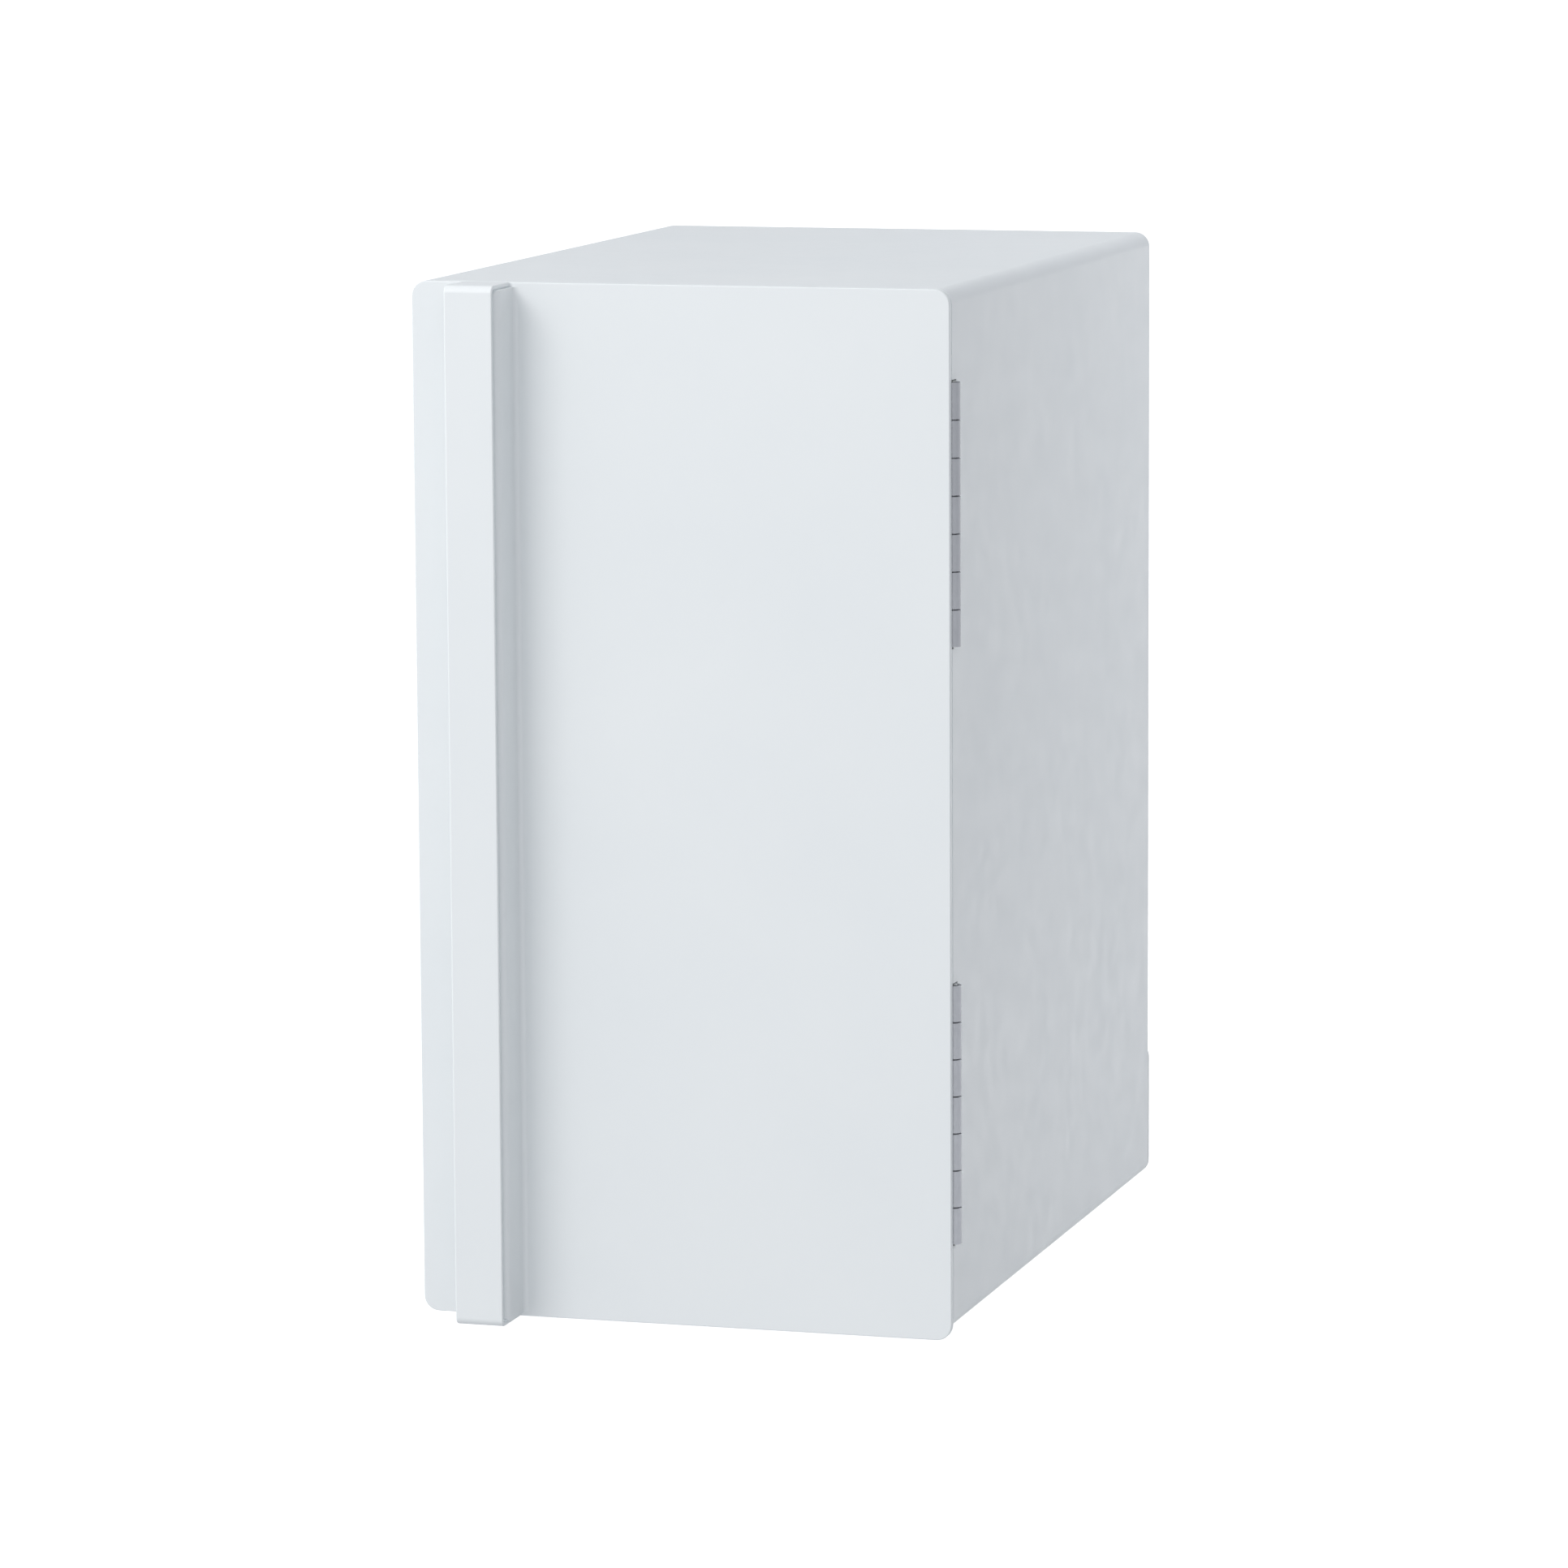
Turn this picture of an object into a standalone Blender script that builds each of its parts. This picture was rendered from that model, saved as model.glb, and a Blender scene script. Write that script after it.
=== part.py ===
"""A slim thermoelectric mini fridge, as an assembly of separate pieces.

Lengths are in millimetres until a mesh is made, which turns them into metres. The design frame
has X across the front (the hinges are at +X), Y from the front to the back, and Z up from the
floor. Y is 0 on the front face of the door plate, and X is 0 on the cabinet's centre line. The
design frame hangs on one empty, which puts the world origin under the middle of the object.
"""

import math

import bmesh
import bpy
from mathutils import Matrix, Vector

MM = 0.001
GAP = 0.3  # between pieces that touch

# Door plate: a flat steel plate that covers the whole front.
PLATE_W = 212.0
PLATE_H = 400.0
PLATE_T = 3.0
PLATE_Z0 = 6.0
PLATE_Z1 = PLATE_Z0 + PLATE_H
CORNER_R = 6.0

# Cabinet: a folded steel sleeve as wide as the plate, a little shorter at the bottom.
HALF_W = PLATE_W / 2
BODY_Z0 = 9.0
BODY_Z1 = PLATE_Z1
SHEET = 1.2
SHELL_Y0 = PLATE_T + 0.5
SHELL_Y1 = 318.0

# Rear end of the cabinet.
REAR_FLANGE_Y = SHELL_Y1 - 3.5
REAR_FLANGE_INSET = 10.0
BACK_PANEL_Y0 = REAR_FLANGE_Y + SHEET + GAP
BACK_PANEL_T = 1.0
BACK_PANEL_Z0 = 60.0
COVER_Y0 = SHELL_Y1 + GAP
COVER_Y1 = COVER_Y0 + 2.7
COVER_Z1 = 65.0
ROCKER_PROUD = 2.0

# Inlet and switch in the rear cover: places, and half sizes across and up.
INLET_X, SWITCH_X, SERVICE_Z = -62.0, 62.0, 36.0
INLET_HALF = (13.5, 9.5)
SWITCH_HALF = (11.0, 7.0)
LOUVRE_X = [-28.0 + 7.0 * step for step in range(9)]
LOUVRE_HALF = (1.6, 14.0)

# Front frame, liner and foam. An inset is measured inwards from the cabinet's outer outline.
FRAME_Y0 = 13.0
FRAME_T = 1.0
FRAME_INSET = (1.5, 23.2)
LINER_INSET = 25.0
LINER_T = 1.5
LINER_LIP_Y = 11.7
LINER_BACK_Y = 236.0
LINER_R = 3.5
FOAM_Y0 = FRAME_Y0 + FRAME_T + GAP
FOAM_Y1 = 262.0
BULKHEAD_T = 1.0

# Door behind the plate: an insulated plug inside the cabinet's mouth, and its seal.
PLUG_Y1 = 30.0
PLUG_INSET = 29.0
DOOR_FLANGE_INSET = 16.0
DOOR_FLANGE_R = 8.0
GASKET_INSET = (10.5, 21.5)

# Handle: a tall channel at the free edge, open to the left as a finger pocket.
HANDLE_X0 = -HALF_W + 20.5
HANDLE_X1 = HANDLE_X0 + 19.0
HANDLE_Y = -22.0
HANDLE_SHEET = 1.5
HANDLE_BEND_R = 3.0
HANDLE_GROOVE = 2.0
HANDLE_WEB_T = 1.5
HANDLE_WEB_R = 2.2

# Hinges: two butt hinges with seven knuckles, barrels standing proud of the side.
HINGE_LENGTH = 100.0
HINGE_Z0 = {"upper": 271.2, "lower": 42.6}
KNUCKLES = 7
BARREL_R = 3.0
BORE_R = 1.6
PIN_R = 1.5
LEAF_T = 1.2
PIVOT_X = HALF_W - 0.6
PIVOT_Y = PLATE_T + GAP + BARREL_R

# Cooling stack, centred on this height.
STACK_Z = 317.0
COOL_FAN = {"size": 60.0, "y0": 204.0, "depth": 15.0, "rotor_r": 26.5, "hole_r": 28.0, "blades": 7}
HOT_FAN = {"size": 80.0, "y0": 295.5, "depth": 15.0, "rotor_r": 36.0, "hole_r": 37.8, "blades": 9}
FAN_SCREW_INSET = 4.2
AIR_COVER_Y0 = 198.0
AIR_COVER_HALF_W = 60.0
AIR_COVER_HALF_H = 55.0
KNOB_X, KNOB_Z = 44.0, 335.0
LAMP_Z = 292.0
LAMP_HALF = (7.0, 10.0)
GRILLE_R = 26.0
GRILLE_PITCH = 7.4

# Shelves rest on runners moulded into the liner, and two bins hang inside the door.
RUNNER_Z = (95.0, 163.0, 226.0, 288.0)
RUNNER_PROUD = 3.0
SHELF_DEPTH = 154.0
SHELVES = {"upper_shelf": (RUNNER_Z[3], 40.0), "lower_shelf": (RUNNER_Z[1], 80.0)}
BIN_HALF_W = 64.0
BIN_Y1 = 76.0
BINS = {"lower_door_bin": (48.0, 52.0), "upper_door_bin": (182.0, 40.0)}

# Screws and feet.
SCREW_R = 1.5
SCREW_HOLE_R = 1.8
REAR_SCREWS = [(x, z) for x in (-100.0, 100.0) for z in (90.0, 390.0)]
COVER_SCREWS = [(x, SERVICE_Z) for x in (-100.0, 100.0)]
FOOT_STEM_R = 2.6
FOOT_HOLE_R = 3.0
FOOT_H = BODY_Z0 - GAP
FOOT_PLACES = {
    "front_left_foot": (-74.0, 46.0),
    "front_right_foot": (74.0, 46.0),
    "rear_left_foot": (-74.0, 276.0),
    "rear_right_foot": (74.0, 276.0),
}

# The world origin: under the middle of the box around the object.
BARREL_PROUD = PIVOT_X + BARREL_R - HALF_W
ORIGIN_X = BARREL_PROUD / 2
ORIGIN_Y = (HANDLE_Y + COVER_Y1 + ROCKER_PROUD) / 2


# ---------------------------------------------------------------- shapes


def arc(centre, radius, start, end, steps):
    """Points on an arc, angles in degrees."""
    angles = [math.radians(start + (end - start) * i / steps) for i in range(steps + 1)]
    return [(centre[0] + radius * math.cos(a), centre[1] + radius * math.sin(a)) for a in angles]


def circle(centre, radius, steps):
    return arc(centre, radius, 0, 360, steps)[:-1]


def rounded(u0, v0, u1, v1, radius, steps=4):
    """A rectangle's outline with round corners, counter-clockwise."""
    r = radius
    corners = [(u1 - r, v0 + r, -90), (u1 - r, v1 - r, 0), (u0 + r, v1 - r, 90), (u0 + r, v0 + r, 180)]
    return [p for u, v, a in corners for p in arc((u, v), r, a, a + 90, steps)]


def placed(outline, axis, height):
    """A flat outline at a height along an axis. It spans the other two axes in X, Y, Z order."""
    if axis == "X":
        return [(height, u, v) for u, v in outline]
    if axis == "Y":
        return [(u, height, v) for u, v in outline]
    return [(u, v, height) for u, v in outline]


def loft(loops, ring=False):
    """One closed body through loops of equal length: capped at both ends, or closed on itself."""
    bm = bmesh.new()
    rows = [[bm.verts.new(p) for p in loop] for loop in loops]
    pairs = list(zip(rows, rows[1:]))
    if ring:
        pairs.append((rows[-1], rows[0]))
    else:
        bm.faces.new(rows[0])
        bm.faces.new(rows[-1])
    count = len(rows[0])
    for low, high in pairs:
        for i in range(count):
            j = (i + 1) % count
            bm.faces.new((low[i], low[j], high[j], high[i]))
    bmesh.ops.recalc_face_normals(bm, faces=bm.faces)
    return bm


def prism(outline, axis, start, end):
    return loft([placed(outline, axis, start), placed(outline, axis, end)])


def box(low, high):
    (x0, y0, z0), (x1, y1, z1) = low, high
    return prism([(x0, y0), (x1, y0), (x1, y1), (x0, y1)], "Z", z0, z1)


def tube(centre, radius, bore, axis, start, end, steps=12):
    wide, thin = circle(centre, radius, steps), circle(centre, bore, steps)
    ends = [(wide, start), (wide, end), (thin, end), (thin, start)]
    return loft([placed(line, axis, height) for line, height in ends], ring=True)


def turned(centre, profile, axis, steps=16):
    """A solid of revolution from (radius, height) pairs, with flat ends."""
    return loft([placed(circle(centre, r, steps), axis, h) for r, h in profile])


def around(profile, half_w, z0, z1, radius, steps=4, ring=True):
    """A section carried round an upright rounded rectangle. It is (inset, y) pairs: an inset also
    tightens the corner, unless the pair has a corner radius of its own as a third value."""
    loops = []
    for inset, y, *own in profile:
        r = own[0] if own else max(radius - inset, 0.6)
        outline = rounded(-half_w + inset, z0 + inset, half_w - inset, z1 - inset, r, steps)
        loops.append(placed(outline, "Y", y))
    return loft(loops, ring)


def round_body(profile, ring=True, radius=CORNER_R):
    return around(profile, HALF_W, BODY_Z0, BODY_Z1, radius, ring=ring)


def together(bodies):
    """Several closed bodies in one bmesh."""
    joined = bmesh.new()
    for body in bodies:
        mesh = bpy.data.meshes.new("loose")
        body.to_mesh(mesh)
        body.free()
        joined.from_mesh(mesh)
        bpy.data.meshes.remove(mesh)
    return joined


def moved(body, matrix):
    bmesh.ops.transform(body, matrix=matrix, verts=body.verts)
    return body


# ---------------------------------------------------------------- objects

MATERIALS = {
    "white_steel": ((0.78, 0.80, 0.82), 0.42, 0.0),
    "liner_plastic": ((0.84, 0.86, 0.87), 0.35, 0.0),
    "gasket_rubber": ((0.62, 0.64, 0.66), 0.6, 0.0),
    "foam": ((0.86, 0.80, 0.62), 0.9, 0.0),
    "aluminium": ((0.72, 0.73, 0.75), 0.35, 1.0),
    "black_plastic": ((0.03, 0.03, 0.035), 0.45, 0.0),
    "zinc_steel": ((0.62, 0.63, 0.64), 0.35, 1.0),
    "ceramic": ((0.9, 0.9, 0.88), 0.5, 0.0),
    "board_green": ((0.05, 0.22, 0.12), 0.5, 0.0),
    "foot_rubber": ((0.06, 0.06, 0.06), 0.8, 0.0),
    "clear_plastic": ((0.85, 0.9, 0.92), 0.15, 0.0),
    "coated_wire": ((0.85, 0.86, 0.87), 0.35, 0.0),
    "red_wire": ((0.55, 0.04, 0.03), 0.5, 0.0),
    "black_wire": ((0.03, 0.03, 0.03), 0.5, 0.0),
}


def material(name):
    if name in bpy.data.materials:
        return bpy.data.materials[name]
    colour, roughness, metallic = MATERIALS[name]
    made = bpy.data.materials.new(name)
    made.use_nodes = True
    shader = made.node_tree.nodes["Principled BSDF"]
    shader.inputs["Base Color"].default_value = (*colour, 1)
    shader.inputs["Roughness"].default_value = roughness
    shader.inputs["Metallic"].default_value = metallic
    return made


def add_object(name, body, parent):
    bmesh.ops.transform(body, matrix=Matrix.Scale(MM, 4), verts=body.verts)
    mesh = bpy.data.meshes.new(name)
    body.to_mesh(mesh)
    body.free()
    mesh.shade_smooth()
    mesh.set_sharp_from_angle(angle=math.radians(30))
    made = bpy.data.objects.new(name, mesh)
    bpy.context.scene.collection.objects.link(made)
    made.parent = parent
    made.location = -Vector(parent["axis_mm"]) * MM
    return made


def part(name, finish, bodies, parent):
    """One node, made of one or more closed bodies."""
    made = add_object(name, together(bodies), parent)
    made.data.materials.append(material(finish))
    return made


def boolean(target, bodies, operation):
    """Cuts bodies from a part, or joins them to it. The bodies don't meet one another."""
    number = len(target.modifiers)
    helper = add_object(f"{target.name}_{operation.lower()}_{number}", together(bodies), target.parent)
    helper.hide_render = True
    helper.display_type = "WIRE"
    step = target.modifiers.new(helper.name, "BOOLEAN")
    step.operation = operation
    step.object = helper
    return target


def cut(target, bodies):
    return boolean(target, bodies, "DIFFERENCE")


def fuse(target, bodies):
    return boolean(target, bodies, "UNION")


def pivot(name, place, parent=None):
    """An empty on a joint's axis, or the design frame itself. It keeps its place in design millimetres."""
    made = bpy.data.objects.new(name, None)
    bpy.context.scene.collection.objects.link(made)
    made["axis_mm"] = place
    if parent:
        made.parent = parent
        made.location = Vector(place) * MM
    return made


def holes(places, radius, axis, start, end, steps=8):
    """Round cutters at places in the plane across the axis."""
    return [prism(circle(place, radius, steps), axis, start, end) for place in places]


def screws(name, places, face, parent, head=(2.6, 1.4), length=6.0):
    """Pan-head screws driven in from behind, one node each. The head rests a gap off the face."""
    seat = face + GAP
    profile = [
        (SCREW_R, seat - length),
        (SCREW_R, seat),
        (head[0], seat),
        (head[0], seat + head[1] * 0.55),
        (head[0] * 0.6, seat + head[1]),
    ]
    for number, place in enumerate(places, start=1):
        part(f"{name}_{number}", "zinc_steel", [turned(place, profile, "Y", 8)], parent)


# ---------------------------------------------------------------- cabinet


def hinge_spans():
    return [(z0, z0 + HINGE_LENGTH) for z0 in HINGE_Z0.values()]


def cabinet_shell(root):
    """Folded sheet sleeve, with a flange at the back set in to take the rear panel."""
    flange_y1 = REAR_FLANGE_Y + SHEET
    section = [
        (0, SHELL_Y0),
        (0, SHELL_Y1),
        (SHEET, SHELL_Y1),
        (SHEET, flange_y1),
        (REAR_FLANGE_INSET, flange_y1),
        (REAR_FLANGE_INSET, REAR_FLANGE_Y),
        (SHEET, REAR_FLANGE_Y),
        (SHEET, SHELL_Y0),
    ]
    shell = part("cabinet_shell", "white_steel", [round_body(section)], root)
    notch_y1 = PIVOT_Y + BARREL_R + 0.4
    slots = [
        box((HALF_W - 2, SHELL_Y0 - 1, z0 - 0.7), (HALF_W + 1, notch_y1, z1 + 0.7))
        for z0, z1 in hinge_spans()
    ]
    slots += holes(FOOT_PLACES.values(), FOOT_HOLE_R, "Z", BODY_Z0 - 1, BODY_Z0 + 3)
    slots += holes(REAR_SCREWS + COVER_SCREWS, SCREW_HOLE_R, "Y", REAR_FLANGE_Y - 1, flange_y1 + 1)
    cut(shell, slots)


def front_frame(root):
    """Flat steel ring, set back from the sleeve's edge, that the magnetic seal closes on."""
    near, far = FRAME_INSET
    y1 = FRAME_Y0 + FRAME_T
    near_r, far_r = CORNER_R - near, LINER_INSET + LINER_R - far
    section = [(near, FRAME_Y0, near_r), (far, FRAME_Y0, far_r), (far, y1, far_r), (near, y1, near_r)]
    part("front_frame", "white_steel", [round_body(section)], root)


def inner_liner(root):
    """Moulded box with a lip over the frame's edge, shelf runners, and a window for the cold block."""
    outer = LINER_INSET - LINER_T
    lip = outer - LINER_T
    section = [
        (outer, LINER_BACK_Y + LINER_T),
        (outer, FRAME_Y0 - GAP),
        (lip, FRAME_Y0 - GAP),
        (lip, LINER_LIP_Y),
        (LINER_INSET, LINER_LIP_Y),
        (LINER_INSET, LINER_BACK_Y),
    ]
    shell = round_body(section, ring=False, radius=LINER_INSET + LINER_R)
    liner = part("inner_liner", "liner_plastic", [shell], root)
    wall = HALF_W - LINER_INSET
    runners = []
    for side in (-1, 1):
        across = sorted((side * (wall - RUNNER_PROUD), side * (wall + LINER_T / 2)))
        for z in RUNNER_Z:
            runners.append(box((across[0], 36.0, z - 4.0), (across[1], LINER_BACK_Y - 8.0, z)))
    fuse(liner, runners)
    cut(liner, [stack_window(22.0, LINER_BACK_Y - 1, LINER_BACK_Y + 3)])


def stack_window(half, y0, y1):
    """A square cutter for the way that the cooling stack takes through a wall."""
    return box((-half, y0, STACK_Z - half), (half, y1, STACK_Z + half))


def insulation(root):
    """Foam poured between the sleeve and the liner, open at the front, with a tunnel at the back."""
    outer, inner = SHEET + GAP, LINER_INSET - LINER_T - GAP
    outer_r, inner_r = CORNER_R - outer, LINER_INSET + LINER_R - inner
    section = [
        (outer, FOAM_Y1, outer_r),
        (outer, FOAM_Y0, outer_r),
        (inner, FOAM_Y0, inner_r),
        (inner, LINER_BACK_Y + LINER_T + GAP, inner_r),
    ]
    foam = part("insulation_foam", "foam", [round_body(section, ring=False)], root)
    cut(foam, [stack_window(21.5, LINER_BACK_Y - 5, FOAM_Y1 + 5)])
    front_feet = [place for place in FOOT_PLACES.values() if place[1] < FOAM_Y1]
    cut(foam, holes(front_feet, FOOT_HOLE_R + 1.5, "Z", BODY_Z0, BODY_Z0 + 7.0))


def rear_bulkhead(root):
    """Sheet between the foam and the warm compartment. It carries the hot side of the stack."""
    y0 = FOAM_Y1 + GAP
    outline = rounded(-102.0, 14.0, 102.0, BODY_Z1 - 4.0, 6.0)
    plate = part("rear_bulkhead", "zinc_steel", [prism(outline, "Y", y0, y0 + BULKHEAD_T)], root)
    cut(plate, [stack_window(21.5, y0 - 1, y0 + 3)])


def back_panel(root):
    """Pressed rear panel with the fan's hole and rows of air slots."""
    y1 = BACK_PANEL_Y0 + BACK_PANEL_T
    outline = rounded(-104.3, BACK_PANEL_Z0, 104.3, BODY_Z1 - 1.7, 3.5)
    panel = part("back_panel", "white_steel", [prism(outline, "Y", BACK_PANEL_Y0, y1)], root)
    openings = holes([(0, STACK_Z)], HOT_FAN["hole_r"], "Y", BACK_PANEL_Y0 - 1, y1 + 1, 24)
    for row in range(9):
        z = 96.0 + 14.0 * row
        for x in (-40.0, 40.0):
            openings.append(box((x - 32.0, BACK_PANEL_Y0 - 1, z - 2.0), (x + 32.0, y1 + 1, z + 2.0)))
    openings += holes(REAR_SCREWS, SCREW_HOLE_R, "Y", BACK_PANEL_Y0 - 1, y1 + 1)
    openings += holes(guard_corners(), SCREW_HOLE_R, "Y", BACK_PANEL_Y0 - 1, y1 + 1)
    cut(panel, openings)
    screws("back_panel_screw", REAR_SCREWS, y1, root, length=5.0)


def guard_corners():
    reach = HOT_FAN["size"] / 2 - FAN_SCREW_INSET
    return [(x, STACK_Z + z) for x in (-reach, reach) for z in (-reach, reach)]


def fan_guard(root):
    """Wire finger guard over the rear fan: three rings on a cross of flat struts."""
    y0 = BACK_PANEL_Y0 + BACK_PANEL_T + GAP
    reach = HOT_FAN["size"] / 2 - FAN_SCREW_INSET
    length = reach * math.sqrt(2) + 3.6
    bars = []
    for turn in (45, 135):
        bar = prism(rounded(-length, -3.4, length, 3.4, 2.0, 1), "Y", y0, y0 + 1.2)
        turned_bar = moved(bar, Matrix.Rotation(math.radians(turn), 4, "Y"))
        bars.append(moved(turned_bar, Matrix.Translation((0, 0, STACK_Z))))
    guard = part("fan_guard", "zinc_steel", bars[:1], root)
    fuse(guard, bars[1:])
    rings = [tube((0, STACK_Z), r + 1.1, r - 1.1, "Y", y0 + 0.4, y0 + 2.2, 20) for r in (12.0, 24.0, 36.0)]
    fuse(guard, rings)
    cut(guard, holes(guard_corners(), SCREW_HOLE_R, "Y", y0 - 1, y0 + 3))
    screws("fan_guard_screw", guard_corners(), y0 + 1.2, root, length=9.0)


def rear_cover(root):
    """Shallow moulded cover over the electrics at the foot of the back."""
    section = [(1.8, COVER_Y1 - 1.6), (1.8, COVER_Y0), (0, COVER_Y0), (0, COVER_Y1 - 0.8), (0.8, COVER_Y1)]
    shape = around(section, HALF_W, BODY_Z0, COVER_Z1, CORNER_R, ring=False)
    cover = part("rear_cover", "white_steel", [shape], root)
    openings = []
    for x, half in ((INLET_X, INLET_HALF), (SWITCH_X, SWITCH_HALF)):
        reach = (half[0] + 0.4, half[1] + 0.4)
        low = (x - reach[0], COVER_Y0 - 1, SERVICE_Z - reach[1])
        high = (x + reach[0], COVER_Y1 + 1, SERVICE_Z + reach[1])
        openings.append(box(low, high))
    reach, rise = LOUVRE_HALF
    low, high = SERVICE_Z - rise, SERVICE_Z + rise
    openings += [box((x - reach, COVER_Y0 - 1, low), (x + reach, COVER_Y1 + 1, high)) for x in LOUVRE_X]
    openings += holes(COVER_SCREWS, SCREW_HOLE_R, "Y", COVER_Y0 - 1, COVER_Y1 + 1)
    cut(cover, openings)
    cut(cover, holes(COVER_SCREWS, 3.2, "Y", COVER_Y1 - 1.0, COVER_Y1 + 1))
    screws("rear_cover_screw", COVER_SCREWS, COVER_Y1 - 1.0, root, head=(2.8, 1.0), length=8.0)


def feet(root):
    """Rubber feet with a barbed stem that pushes through the floor of the sleeve."""
    floor = BODY_Z0 + SHEET
    profile = [
        (9.5, 0.0),
        (11.0, 1.2),
        (11.0, FOOT_H - 1.0),
        (10.4, FOOT_H),
        (FOOT_STEM_R, FOOT_H),
        (FOOT_STEM_R, floor + GAP),
        (FOOT_HOLE_R + 0.6, floor + GAP + 0.4),
        (FOOT_STEM_R - 1.0, floor + GAP + 3.6),
    ]
    for name, place in FOOT_PLACES.items():
        part(name, "foot_rubber", [turned(place, profile, "Z", 14)], root)


# ---------------------------------------------------------------- cooling


def fan(name, spec, root, rotor_parent):
    """Axial fan: a square frame with a motor mount on struts, and a bladed rotor."""
    half, y0 = spec["size"] / 2, spec["y0"]
    y1 = y0 + spec["depth"]
    hub_r = spec["rotor_r"] * 0.4
    plate = prism(rounded(-half, STACK_Z - half, half, STACK_Z + half, 4.0, 3), "Y", y0, y1)
    frame = part(f"{name}_frame", "black_plastic", [plate], root)
    corner = half - FAN_SCREW_INSET
    corners = [(x, STACK_Z + z) for x in (-corner, corner) for z in (-corner, corner)]
    cut(frame, holes([(0, STACK_Z)], spec["hole_r"], "Y", y0 - 1, y1 + 1, 24))
    cut(frame, holes(corners, 2.1, "Y", y0 - 1, y1 + 1, 6))
    strut_y = y1 - 3.0
    struts = []
    for turn in (20, 110):
        strut = box((-half + 1.2, strut_y, -1.6), (half - 1.2, y1 - 0.4, 1.6))
        tilted = moved(strut, Matrix.Rotation(math.radians(turn), 4, "Y"))
        struts.append(moved(tilted, Matrix.Translation((0, 0, STACK_Z))))
    fuse(frame, struts[:1])
    fuse(frame, struts[1:])
    fuse(frame, [turned((0, STACK_Z), [(hub_r, strut_y - 0.2), (hub_r, y1 - 0.2)], "Y", 16)])
    profile = [(hub_r - 1.0, y0 + 1.0), (hub_r, y0 + 2.0), (hub_r, strut_y - 1.0)]
    hub = turned((0, STACK_Z), profile, "Y", 16)
    rotor = part(f"{name}_rotor", "black_plastic", [hub], rotor_parent)
    fuse(rotor, [blade(spec, hub_r, turn) for turn in range(spec["blades"])])


def blade(spec, hub_r, number):
    """A pitched blade, widening and flattening from the hub to the tip."""
    loops = []
    y_mid = spec["y0"] + (spec["depth"] - 2.0) / 2
    for share in (0.0, 0.5, 1.0):
        r = hub_r - 1.2 + (spec["rotor_r"] - hub_r + 1.2) * share
        chord = spec["rotor_r"] * (0.30 + 0.16 * share)
        pitch = math.radians(48 - 20 * share)
        along = Vector((math.cos(pitch), math.sin(pitch))) * chord / 2
        thick = Vector((-math.sin(pitch), math.cos(pitch))) * 0.6
        swept = math.radians(12 * share)
        base = Vector((math.sin(swept) * r * 0.3, y_mid))
        ring = [base - along - thick, base + along - thick, base + along + thick, base - along + thick]
        loops.append([(p.x, p.y, r) for p in ring])
    body = loft(loops)
    turn = Matrix.Rotation(math.tau * number / spec["blades"], 4, "Y")
    return moved(body, Matrix.Translation((0, 0, STACK_Z)) @ turn)


def comb(half_w, base_y, base_t, fin_y, fins, fin_t):
    """Section of a finned heat sink, with the fins pointing from the base towards fin_y."""
    root_y = base_y + base_t if fin_y > base_y else base_y
    back_y = base_y if fin_y > base_y else base_y + base_t
    pitch = (2 * half_w - fin_t) / (fins - 1)
    line = [(-half_w, back_y), (half_w, back_y)]
    for i in reversed(range(fins)):
        x = -half_w + pitch * i
        line += [(x + fin_t, root_y), (x + fin_t, fin_y), (x, fin_y), (x, root_y)]
    line[2] = (half_w, fin_y)
    del line[3]
    line[-1] = (-half_w, fin_y)
    del line[-2]
    return line


def cooling_stack(root):
    """Cold sink, spacer block, thermoelectric module and hot sink, clamped through the back wall."""
    cold = comb(45.0, LINER_BACK_Y - GAP - 3.2, 3.2, 221.0, 13, 1.3)
    part("cold_sink", "aluminium", [prism(cold, "Z", STACK_Z - 45.0, STACK_Z + 45.0)], root)
    block = box((-21.0, LINER_BACK_Y, STACK_Z - 21.0), (21.0, 259.3, STACK_Z + 21.0))
    part("cold_block", "aluminium", [block], root)
    bulk_y1 = FOAM_Y1 + GAP + BULKHEAD_T
    module = box((-20.0, 259.6, STACK_Z - 20.0), (20.0, bulk_y1, STACK_Z + 20.0))
    part("peltier_module", "ceramic", [module], root)
    hot = comb(52.0, bulk_y1 + GAP, 4.0, HOT_FAN["y0"] - 1.0, 15, 1.5)
    part("hot_sink", "aluminium", [prism(hot, "Z", STACK_Z - 55.0, STACK_Z + 55.0)], root)


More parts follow.
